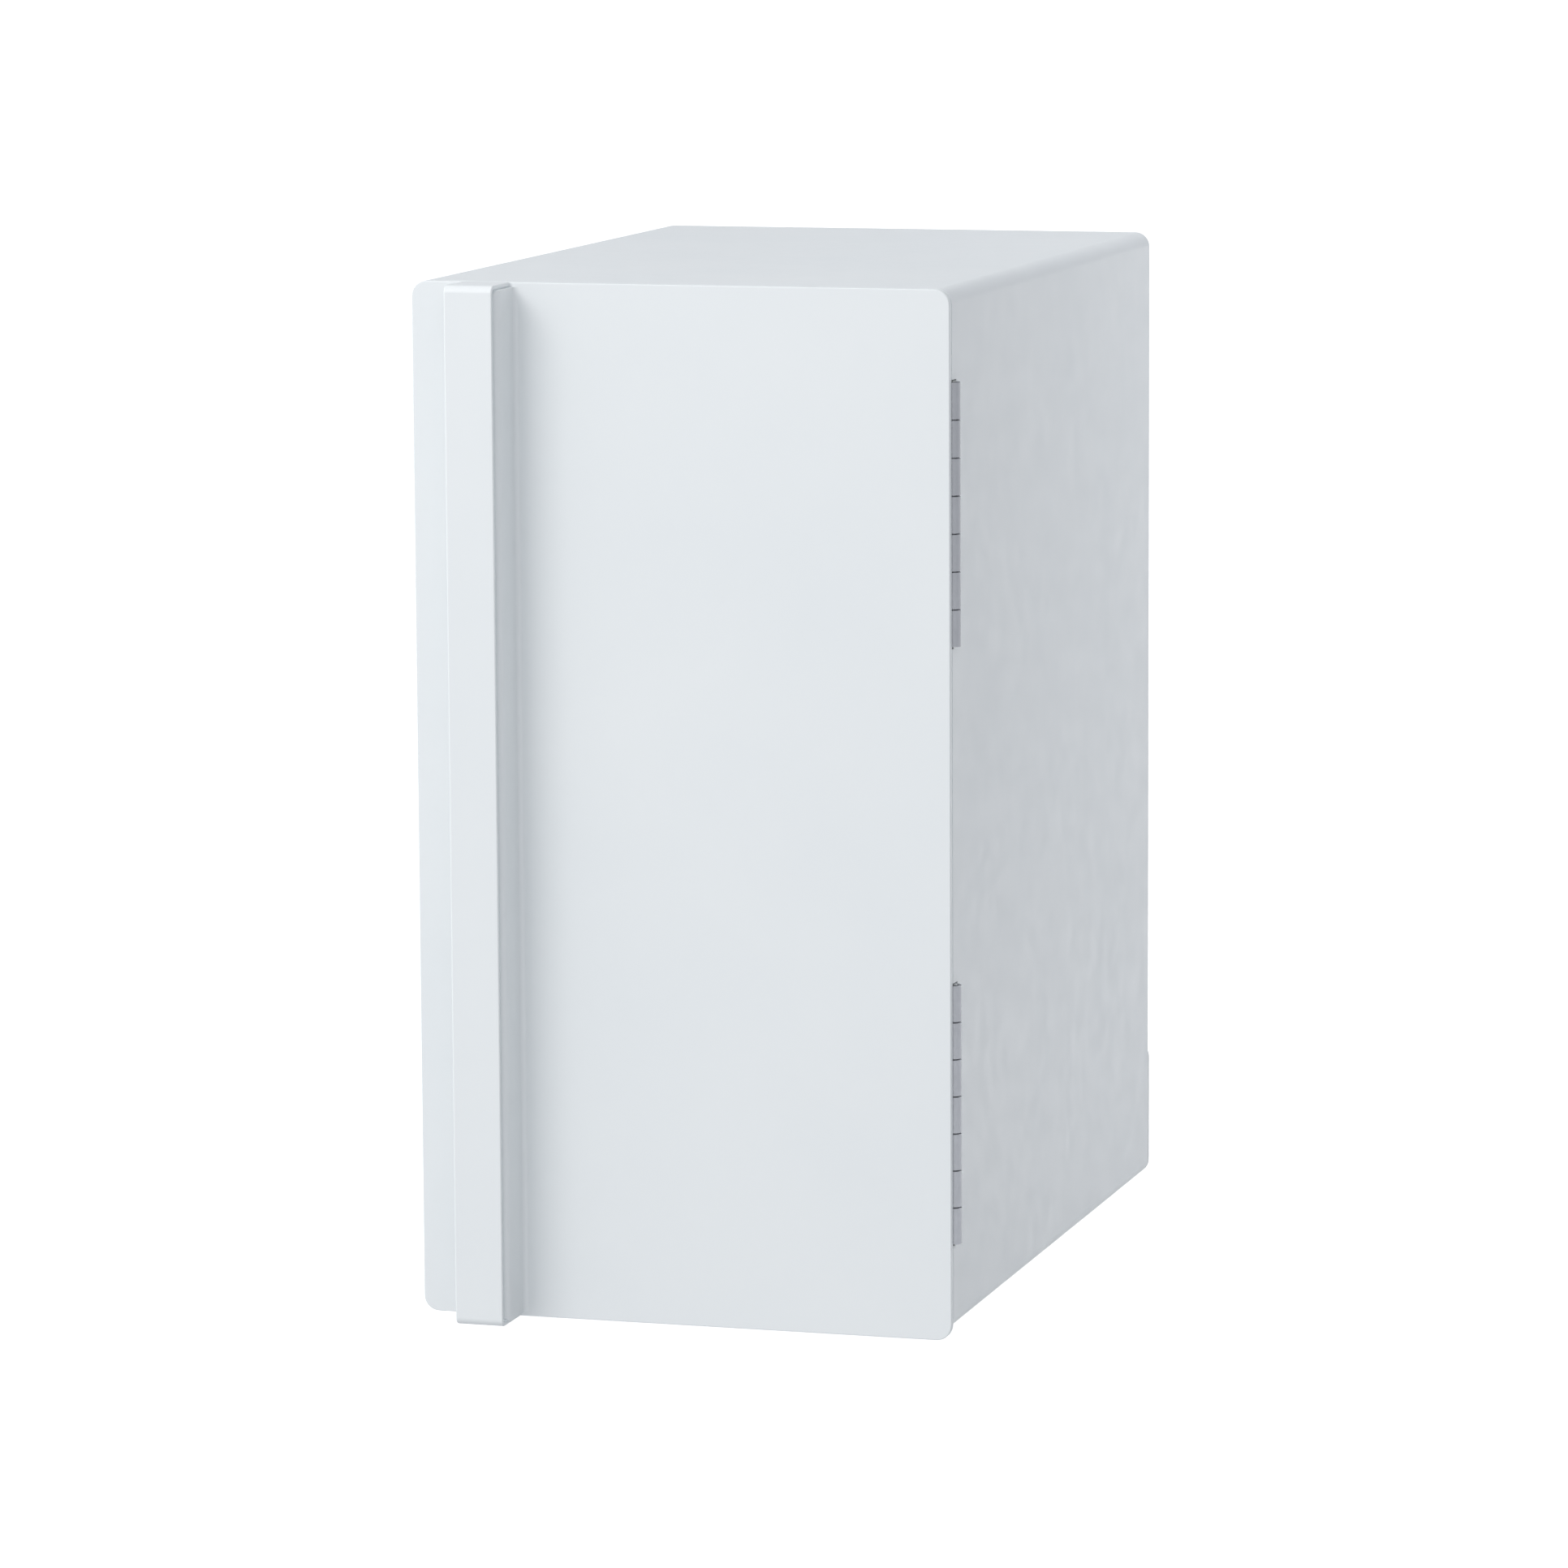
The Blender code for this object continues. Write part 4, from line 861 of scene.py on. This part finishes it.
def cabinet_hinge_leaf(side, axis, z0, z1):
    """The cabinet's leaf: an angle inside the sleeve, with four knuckles on short arms."""
    y1 = span(f"{side}_hinge_cabinet_leaf")[1].y
    x1 = SLEEVE_HALF - STEEL_T - 0.3
    x0 = x1 - LEAF_T
    y0, foot_x = axis[1] + 3.5, x1 - 8.2
    angle = [(x0, y0), (x1, y0), (x1, y1), (foot_x, y1), (foot_x, y1 - LEAF_T), (x0, y1 - LEAF_T)]
    made = raw_object(f"{side}_hinge_cabinet_plate", [prism(angle, "Z", z0, z1)])
    spans = knuckles(z0, z1, 0)
    carve(made, [block((x0, axis[1] + 1.9, a), (x1, y0 + 0.5, b)) for a, b in spans], "UNION")
    carve(made, [barrel(axis, a, b) for a, b in spans], "UNION")
    finish_piece(made, SATIN, "cabinet", [f"{side}_hinge_cabinet_leaf"])


# ---------------------------------------------------------------- cabinet


SCREW_HOLE_R = 1.8


def sleeve():
    """Folded steel sleeve: smooth 6 mm bends, a broken front edge and a set-in rear flange."""
    low, high = span("cabinet_shell")
    sheet, flange = STEEL_T, 10.0
    y0, y1 = low.y, high.y
    flange_y0 = y1 - 3.5
    section = [
        (0, y0),
        (0, y1),
        (sheet, y1),
        (sheet, flange_y0 + sheet),
        (flange, flange_y0 + sheet),
        (flange, flange_y0),
        (sheet, flange_y0),
        (sheet, y0),
    ]
    folded = around(eased(section, 0.25, 2), *sleeve_corners(), CORNER_R, 16)
    made = raw_object("cabinet_sleeve", [folded])
    slots = []
    for side in ("upper", "lower"):
        leaf_low, leaf_high = span(f"{side}_hinge_cabinet_leaf")
        y_end = plan_centre(f"{side}_hinge_pin")[1] + 3.4
        slots.append(block((104.0, y0 - 1, leaf_low.z - 0.5), (107.0, y_end, leaf_high.z + 0.7)))
    carve(made, slots)
    spots = screw_places("back_panel_screw", 4) + screw_places("rear_cover_screw", 2)
    bored = [(SCREW_HOLE_R, flange_y0 - 1), (SCREW_HOLE_R, flange_y0 + 3)]
    carve(made, [turned(spot, bored, "Y", 16) for spot in spots])
    stems = [(3.0, low.z - 1), (3.0, low.z + 3)]
    carve(made, [turned(plan_centre(name), stems, "Z", 24) for name in FEET])
    finish_piece(made, POWDER, "cabinet", ["cabinet_shell"])


FEET = ("front_left_foot", "front_right_foot", "rear_left_foot", "rear_right_foot")


def feet():
    """Turned-down rubber feet with a chamfered tread and two fine grooves."""
    top = 8.7
    for name in FEET:
        tread = [(7.6, 0.0), (8.0, 0.5), (9.3, 0.5), (9.7, 0.0), (10.1, 0.1), (11.0, 1.3)]
        wall = [(11.0, 3.6), (10.6, 3.9), (10.6, 4.4), (11.0, 4.7), (11.0, top - 1.0), (10.4, top)]
        stem = [(2.6, top), (2.6, 10.5), (3.6, 10.9), (1.8, span(name)[1].z)]
        foot = turned(plan_centre(name), tread + wall + stem, "Z", 48)
        piece(f"{name}_rubber", [foot], RUBBER, "cabinet", [name])


def frame_ring():
    """Painted steel flange behind the seal."""
    low, high = span("front_frame")
    near, far = low.x + SLEEVE_HALF, 23.2
    outer_r, inner_r = CORNER_R - near, LINER_R + LINER_INSET - far
    front = [(near, low.y, outer_r), (far, low.y, inner_r)]
    back = [(far, high.y, inner_r), (near, high.y, outer_r)]
    ring = around(front + back, *sleeve_corners(), CORNER_R, 12)
    piece("seal_flange", [ring], POWDER, "cabinet", ["front_frame"], edge=0.15)


RUNNER_HEIGHTS = (95.0, 163.0, 226.0, 288.0)


def liner():
    """Thermoformed liner: soft radii everywhere, moulded shelf runners and a lip over the frame."""
    low, high = span("inner_liner")
    wall, inner, fillet, nose = 1.5, LINER_INSET, 5.0, 1.2
    outer = inner - wall
    lip = outer - wall
    back, front = high.y - wall, low.y
    frame_y = span("front_frame")[0].y - 0.3
    outside = arc((outer + fillet, high.y - fillet), fillet, 90, 180, 6)
    rim = [(outer, frame_y), (lip, frame_y), (lip, front + 0.4), (lip + 0.4, front)]
    mouth = arc((inner - nose, front + nose), nose, -90, 0, 3)
    inside = arc((inner + fillet, back - fillet), fillet, 180, 90, 6)
    section = outside + rim + mouth + inside
    shell = around(section, *sleeve_corners(), LINER_R + LINER_INSET, 12, ring=False)
    made = raw_object("liner_shell", [shell])
    side_wall = SLEEVE_HALF - inner
    for side in (-1, 1):
        x0, x1 = sorted((side * (side_wall - 3.0), side * (side_wall + 0.7)))
        for z in RUNNER_HEIGHTS:
            carve(made, [block((x0, 36.0, z - 4.0), (x1, back - 8.0, z), 1.2, "Y")], "UNION")
    middle = stack_height()
    carve(made, [block((-22, back - 1, middle - 22), (22, back + 4, middle + 22), 2.0, "Y")])
    finish_piece(made, HIPS, "cabinet", ["inner_liner"], edge=0.35, edge_turn=40)


def stack_height():
    """The height of the fans, sinks and module on their one line."""
    return face_centre("hot_fan_frame")[1]


def shelf(name):
    """Dipped wire shelf: rim, nine rods and a cross bar under them."""
    low, high = span(name)
    r, rod_r, bar_r, pitch = 2.0, 1.3, 1.6, 17.0
    z = low.z + r
    outline = rounded(low.x + r, low.y + r, high.x - r, high.y - r, 6.0, 10)
    made = raw_object(f"{name}_wires", [sweep([(x, y, z) for x, y in outline], r, 16, closed=True)])
    middle = (low.y + high.y) / 2
    bar = sweep([(low.x + r, middle, z + 0.3), (high.x - r, middle, z + 0.3)], bar_r, 12)
    carve(made, [bar], "UNION")
    for x in [pitch * i for i in range(-4, 5)]:
        rod = sweep([(x, low.y + 1.0, z + r), (x, high.y - 1.0, z + r)], rod_r, 12)
        carve(made, [rod], "UNION")
    finish_piece(made, DIPPED, "cabinet", [name], turn=50)


# ---------------------------------------------------------------- inside the cabinet: air cover and controls


def grille_slots(centre_z, y0, y1):
    """Seven slots with round ends, within a circle."""
    pitch, reach = 7.4, 26.0
    slots = []
    for row in range(-3, 4):
        z = centre_z + row * pitch
        half = math.sqrt(reach**2 - (row * pitch) ** 2)
        slots.append(block((-half, y0, z - 1.8), (half, y1, z + 1.8), 1.7, "Y"))
    return slots


def air_cover():
    """Moulded cover over the cold sink, with a round grille, side vents and seats for knob and lamp."""
    low, high = span("air_cover")
    y0, y1, wall, bend = low.y, high.y, 2.0, 4.0
    section = [(wall, y0 + wall), (wall, y1), (0, y1)] + arc((bend, y0 + bend), bend, 180, 270, 6)
    made = raw_object("air_cover_moulding", [around(section, *flat(low, high), 9.0, 10, ring=False)])
    knob = face_centre("thermostat_knob")
    lamp_low, lamp_high = span("lamp_lens")
    cuts = grille_slots(face_centre("air_cover")[1], y0 - 1, y0 + 3)
    cuts.append(turned(knob, [(3.6, y0 - 1), (3.6, y0 + 3)], "Y", 32))
    seat_low = (lamp_low.x - 0.3, y0 - 1, lamp_low.z - 0.3)
    cuts.append(block(seat_low, (lamp_high.x + 0.3, y0 + 3, lamp_high.z + 0.3), 2.0, "Y"))
    carve(made, cuts)
    vents = []
    for x in [18.0 * step for step in range(-2, 3)]:
        for z in (low.z, high.z):
            vents.append(block((x - 6, 208.0, z - 3), (x + 6, 228.0, z + 3), 1.8, "Z"))
    carve(made, vents)
    finish_piece(made, HIPS, "cabinet", ["air_cover"], edge=0.4)
    crown = [(1.2, lamp_low.y), (0.4, lamp_low.y + 0.3), (0, lamp_low.y + 1.0), (0, lamp_high.y)]
    lens = around(crown, *flat(lamp_low, lamp_high), 2.0, 8, ring=False)
    piece("lamp_cover", [lens], OPAL, "cabinet", ["lamp_lens"])
    knob_piece(knob)


def knob_piece(centre):
    """Thermostat knob: fluted skirt, raised grip and a dark pointer line."""
    low, high = span("thermostat_knob")
    x, z = centre
    y0, y1 = low.y, high.y
    face = y0 + 1.6
    skirt = span("air_cover")[0].y - 0.3
    shaft = [(2.8, y1), (2.8, skirt), (11.6, skirt), (12.0, skirt - 0.4), (12.0, skirt - 2.6)]
    crown = [(11.6, skirt - 3.1), (10.6, skirt - 4.0), (10.3, face + 1.4), (9.8, face + 0.4), (8.8, face)]
    made = raw_object("knob_body", [turned(centre, shaft + crown, "Y", 72)])
    flute = [(0.8, skirt - 4.4), (0.8, skirt + 0.5)]
    carve(made, [turned(place, flute, "Y", 8) for place in circle(centre, 12.4, 24)])
    carve(made, [block((x - 1.7, y0, z - 10.4), (x + 1.7, skirt - 2.0, z + 10.4), 1.5, "Y")], "UNION")
    finish_piece(made, HIPS, "knob", ["thermostat_knob"], edge=0.3)
    line = block((x - 0.45, y0 - 0.05, z + 3.0), (x + 0.45, y0 + 0.5, z + 9.4), 0.4, "Y")
    piece("knob_pointer", [line], BLACK, "knob")


# ---------------------------------------------------------------- fans


def fan_frame(node, hole_r):
    """Moulded fan frame: square block with a round duct, screw holes, struts and a motor cup."""
    low, high = span(node)
    y0, y1 = low.y, high.y
    half = (high.x - low.x) / 2
    z = face_centre(node)[1]
    square = prism(rounded(-half, z - half, half, z + half, 4.0, 8), "Y", y0, y1)
    made = raw_object(f"{node}_moulding", [square])
    carve(made, [turned((0, z), [(hole_r, y0 - 1), (hole_r, y1 + 1)], "Y", 72)])
    corner = half - 4.2
    places = [(x, z + dz) for x in (-corner, corner) for dz in (-corner, corner)]
    carve(made, [turned(p, [(2.1, y0 - 1), (2.1, y1 + 1)], "Y", 16) for p in places])
    hub_r = (hole_r - 1.6) * 0.4
    strut_y = y1 - 3.0
    for turn in (20, 65, 110, 155):
        strut = block((-half + 1.2, strut_y, z - 1.2), (half - 1.2, y1 - 0.4, z + 1.2))
        carve(made, [turn_about(strut, turn, "Y", (0, 0, z))], "UNION")
    carve(made, [turned((0, z), [(hub_r, strut_y - 0.2), (hub_r, y1 - 0.2)], "Y", 40)], "UNION")
    finish_piece(made, BLACK, "cabinet", [node], edge=0.3, edge_turn=50)


def fan_blade(z, y_mid, r_hub, r_tip, turn):
    """A cambered, swept blade that widens and flattens towards its tip."""
    loops = []
    for k in range(7):
        share = k / 6
        r = r_hub + (r_tip - r_hub) * share
        chord = r_tip * (0.28 + 0.15 * share)
        pitch = math.radians(48 - 20 * share)
        along = Vector((math.cos(pitch), math.sin(pitch)))
        out = Vector((-math.sin(pitch), math.cos(pitch)))
        middle = Vector((math.sin(math.radians(12 * share)) * r * 0.3, y_mid))
        upper, lower = [], []
        for j in range(7):
            s = -1 + 2 * j / 6
            camber = 0.05 * chord * (1 - s * s)
            thick = 0.25 + 0.45 * math.sqrt(max(0.0, 1 - s * s))
            centre = middle + along * chord / 2 * s + out * camber
            upper.append(centre + out * thick)
            lower.append(centre - out * thick)
        loops.append([(p.x, p.y, r) for p in upper + lower[::-1]])
    body = loft(loops)
    spin = Matrix.Translation((0, 0, z)) @ Matrix.Rotation(turn, 4, "Y")
    bmesh.ops.transform(body, matrix=spin, verts=body.verts)
    return body


def fan_rotor(node, frame_node, body, tip, blades):
    """Rotor: domed hub with a rim, and swept blades."""
    low, high = span(frame_node)
    z = face_centre(frame_node)[1]
    y0, back = low.y, high.y - 4.0
    hub_r = tip * 0.4
    dome = [(hub_r * 0.5, y0 + 1.0), (hub_r - 1.4, y0 + 1.1), (hub_r - 0.4, y0 + 1.5)]
    hub = turned((0, z), dome + [(hub_r, y0 + 2.4), (hub_r, back)], "Y", 48)
    made = raw_object(f"{node}_moulding", [hub])
    y_mid = y0 + (high.y - y0 - 2.0) / 2
    for i in range(blades):
        carve(made, [fan_blade(z, y_mid, hub_r - 1.0, tip, math.tau * i / blades)], "UNION")
    finish_piece(made, BLACK, body, [node], turn=40)


# ---------------------------------------------------------------- back


def screw_places(name, count):
    """Where a set of screws sits, seen from the front."""
    return [face_centre(f"{name}_{i}") for i in range(1, count + 1)]


def guard_corners():
    """Where the finger guard is screwed on."""
    return screw_places("fan_guard_screw", 4)


SCREWS = (("back_panel_screw", 4, 1.4), ("fan_guard_screw", 4, 1.4), ("rear_cover_screw", 2, 1.0))


def screws():
    """Zinc-plated pan-head screws with a cross recess and a plain shank."""
    for name, count, rise in SCREWS:
        for i in range(1, count + 1):
            node = f"{name}_{i}"
            low, high = span(node)
            x, z = face_centre(node)
            r = (high.x - low.x) / 2
            top = high.y
            seat = top - rise
            turns = [math.radians(a) for a in (0, 20, 40, 60, 75)]
            dome = [(r * math.cos(a) ** 0.6, seat + rise * (0.35 + 0.65 * math.sin(a))) for a in turns]
            profile = [(0.8, low.y), (1.5, low.y + 1.0), (1.5, seat), (r, seat)] + dome
            made = raw_object(f"{node}_head", [turned((x, z), profile, "Y", 32)])
            for turn in (45, 135):
                bar = block((x - 1.5, top - 0.9, z - 0.35), (x + 1.5, top + 1, z + 0.35))
                carve(made, [turn_about(bar, turn, "Y", (x, 0, z))])
            finish_piece(made, ZINC, "cabinet", [node])


def back_panel():
    """Pressed rear panel: air slots with round ends in two banks, and a round hole for the fan."""
    low, high = span("back_panel")
    y0, y1 = low.y, high.y
    sheet = prism(rounded(low.x, low.z, high.x, high.z, 3.5, 8), "Y", y0, y1)
    made = raw_object("back_panel_sheet", [sheet])
    cuts = [turned((0, stack_height()), [(37.8, y0 - 1), (37.8, y1 + 1)], "Y", 72)]
    for row in range(9):
        z = 96.0 + 14.0 * row
        for x in (-40.0, 40.0):
            cuts.append(block((x - 32, y0 - 1, z - 2), (x + 32, y1 + 1, z + 2), 1.95, "Y"))
    bored = [(SCREW_HOLE_R, y0 - 1), (SCREW_HOLE_R, y1 + 1)]
    spots = screw_places("back_panel_screw", 4) + guard_corners()
    carve(made, cuts + [turned(spot, bored, "Y", 16) for spot in spots])
    finish_piece(made, POWDER, "cabinet", ["back_panel"], edge=0.18)


def guard():
    """Zinc-plated wire finger guard: five rings welded to two crossed wires with eyes for the screws."""
    y0, z = span("fan_guard")[0].y, stack_height()
    eye = [(1.8, y0), (3.3, y0), (3.3, y0 + 1.0), (1.8, y0 + 1.0)]
    eyes = [pipe_ring(corner, eye, "Y", 32) for corner in guard_corners()]
    made = raw_object("fan_guard_wires", eyes[:1])
    for more in eyes[1:]:
        carve(made, [more], "UNION")
    reach = (Vector(guard_corners()[0]) - Vector((0, z))).length - 2.6
    for turn in (45, 135):
        x, up = reach * math.cos(math.radians(turn)), reach * math.sin(math.radians(turn))
        ends = [(side * x, y0 + 0.6, z + side * up) for side in (-1, 1)]
        carve(made, [sweep(ends, 0.6, 12)], "UNION")
    for r in (7.0, 14.5, 22.0, 29.5, 37.0):
        line = [(x, y0 + 1.5, z + up) for x, up in circle((0, 0), r, 72)]
        carve(made, [sweep(line, 0.65, 10, closed=True)], "UNION")
    finish_piece(made, ZINC, "cabinet", ["fan_guard"], turn=50)


def service_openings(y0, y1):
    """Cutters for the inlet's and the switch's windows, and for the louvres between them."""
    cuts = []
    for node, r in (("power_inlet", 1.7), ("switch_housing", 1.2)):
        low, high = span(node)
        cuts.append(block((low.x - 0.4, y0, low.z - 0.4), (high.x + 0.4, y1, high.z + 0.4), r, "Y"))
    middle = face_centre("power_inlet")[1]
    for x in [-28.0 + 7.0 * step for step in range(9)]:
        cuts.append(block((x - 1.6, y0, middle - 14), (x + 1.6, y1, middle + 14), 1.55, "Y"))
    return cuts


def rear_cover():
    """Moulded cover at the foot of the back, softly rounded where it meets the sleeve's line."""
    low, high = span("rear_cover")
    y0, y1, bend = low.y, high.y, 1.2
    section = [(1.8, y1 - 1.6), (1.8, y0), (0, y0)] + arc((bend, y1 - bend), bend, 180, 90, 6)
    shell = around(section, *flat(low, high), CORNER_R, 12, ring=False)
    made = raw_object("rear_cover_moulding", [shell])
    carve(made, service_openings(y0 - 1, y1 + 1))
    spots = screw_places("rear_cover_screw", 2)
    bored, seat = [(SCREW_HOLE_R, y0 - 1), (SCREW_HOLE_R, y1 + 1)], [(3.2, y1 - 1.0), (3.4, y1 + 1)]
    carve(made, [turned(spot, bored, "Y", 24) for spot in spots])
    carve(made, [turned(spot, seat, "Y", 32) for spot in spots])
    finish_piece(made, MOULDED, "cabinet", ["rear_cover"], edge=0.2)


def inlet():
    """Two-pin inlet: rounded socket with a chamfered mouth and bright contacts."""
    low, high = span("power_inlet")
    face = high.y
    x, z = face_centre("power_inlet")
    housing = prism(rounded(low.x, low.z, high.x, high.z, 1.5, 6), "Y", low.y, face)
    made = raw_object("inlet_housing", [housing])
    carve(made, [prism(rounded(x - 9.2, z - 4.6, x + 9.2, z + 4.6, 4.5, 10), "Y", face - 13.0, face + 1)])
    finish_piece(made, BLACK, "cabinet", ["power_inlet"], edge=0.4, segments=3)
    profile = [(1.15, face - 14.0), (1.15, face - 3.0), (1.0, face - 2.3), (0.6, face - 1.8)]
    for number, side in enumerate((-4.8, 4.8), start=1):
        contact = turned((x + side, z), profile, "Y", 24)
        piece(f"inlet_contact_{number}", [contact], ZINC, "cabinet")


def switch():
    """Rocker switch: a rocker with two dished faces in a framed housing."""
    low, high = span("switch_housing")
    face = high.y
    x, z = face_centre("switch_housing")
    housing = prism(rounded(low.x, low.z, high.x, high.z, 1.0, 6), "Y", low.y, face)
    made = raw_object("switch_frame", [housing])
    carve(made, [block((x - 9.0, face - 9.0, z - 5.4), (x + 9.0, face + 1, z + 5.4), 0.6, "Y")])
    finish_piece(made, BLACK, "cabinet", ["switch_housing"], edge=0.35, segments=3)
    rocker(x)


def rocker(x):
    """The rocker from above: its left half slopes down to the middle, and both halves are dished."""
    low, high = span("power_rocker")
    reach, drop, dish = 7.4, 2.6, 0.5
    shares = (0.2, 0.4, 0.6, 0.8, 1)
    slope = [(t, drop * t + dish * math.sin(math.pi * t)) for t in (0, *shares)]
    level = [(t, drop + 0.3 * t + dish * math.sin(math.pi * t)) for t in shares]
    outline = [(low.x + reach * t, high.y - down) for t, down in slope]
    outline += [(x + reach * t, high.y - down) for t, down in level]
    outline += [(x + 6.2, low.y), (x - 6.2, low.y)]
    button = prism(outline, "Z", low.z, high.z)
    piece(
        "rocker_button", [button], BLACK, "rocker", ["power_rocker"],
        edge=0.35, segments=3,
    )


# ---------------------------------------------------------------- carried-over pieces


CARRIED = {
    "insulation_foam": FOAM,
    "door_foam": FOAM,
    "rear_bulkhead": ZINC,
    "cold_sink": ALUMINIUM,
    "hot_sink": ALUMINIUM,
    "cold_block": ALUMINIUM,
    "peltier_module": CERAMIC,
    "thermostat_body": BLACK,
    "module_lead_red": RED_WIRE,
    "module_lead_black": BLACK_WIRE,
    "fan_lead": BLACK_WIRE,
}


def carried_over():
    """Inner pieces whose CAD shape is right: they only get their real finish."""
    for name, finish in CARRIED.items():
        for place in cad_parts[name].material_slots:
            place.material = finish


CAPACITORS = (
    ((6.0, 276.0), 5.0, 20.0),
    ((6.0, 289.0), 4.0, 14.0),
    ((18.0, 276.0), 5.0, 20.0),
    ((36.0, 288.0), 3.2, 11.0),
)


def supply_board():
    """Board with nylon stand-offs, sleeved capacitors and a taped transformer."""
    low, high = span("power_board")
    board_z0 = 17.0
    top = board_z0 + 1.6
    board = prism(rounded(low.x, low.y, high.x, high.y, 2.0, 6), "Z", board_z0, top)
    piece("board_sheet", [board], BOARD, "cabinet", ["power_board"], edge=0.1)
    post = [(3.0, low.z), (3.0, low.z + 1.5), (2.2, low.z + 2.0), (2.2, board_z0 - 0.1)]
    corners = [(x, y) for x in (-43.0, 47.0) for y in (272.0, 292.0)]
    for number, place in enumerate(corners, start=1):
        piece(f"stand_off_{number}", [turned(place, post, "Z", 24)], HIPS, "cabinet")
    for number, (place, r, tall) in enumerate(CAPACITORS, start=1):
        crimp = [(r, top + 0.1), (r, top + 1.6), (r - 0.3, top + 2.0), (r, top + 2.4)]
        can = turned(place, crimp + [(r, top + tall - 0.8), (r - 0.5, top + tall - 0.1)], "Z", 32)
        piece(f"capacitor_{number}", [can], BLACK, "cabinet")
        cap = turned(place, [(r - 0.7, top + tall - 0.3), (r - 0.8, top + tall - 0.02)], "Z", 32)
        piece(f"capacitor_top_{number}", [cap], ALUMINIUM, "cabinet")
    mains_transformer()


def mains_transformer():
    """Laminated core with the taped winding showing at both ends."""
    low, high = span("transformer")
    core = block((low.x, low.y + 2, low.z), (high.x, high.y - 2, high.z))
    piece("transformer_core", [core], CORE, "cabinet", ["transformer"], edge=0.4)
    ends = ((low.y, low.y + 1.9), (high.y - 1.9, high.y))
    for number, (y0, y1) in enumerate(ends, start=1):
        coil = block((low.x + 4, y0, low.z + 3.7), (high.x - 4, y1, low.z + 15.7), 0.8, "Z")
        piece(f"transformer_winding_{number}", [coil], TAPE, "cabinet", edge=0.3)


# ---------------------------------------------------------------- build


camera()
studio()
floor()
backdrop()
door_plate()
pull()
inner_door()
seal()
door_bins()
hinges()
sleeve()
feet()
frame_ring()
liner()
shelf("upper_shelf")
shelf("lower_shelf")
air_cover()
fan_frame("cold_fan_frame", 28.0)
fan_frame("hot_fan_frame", 37.8)
fan_rotor("cold_fan_rotor", "cold_fan_frame", "cold_fan", 26.5, 7)
fan_rotor("hot_fan_rotor", "hot_fan_frame", "hot_fan", 36.0, 9)
back_panel()
guard()
screws()
rear_cover()
inlet()
switch()
supply_board()
carried_over()
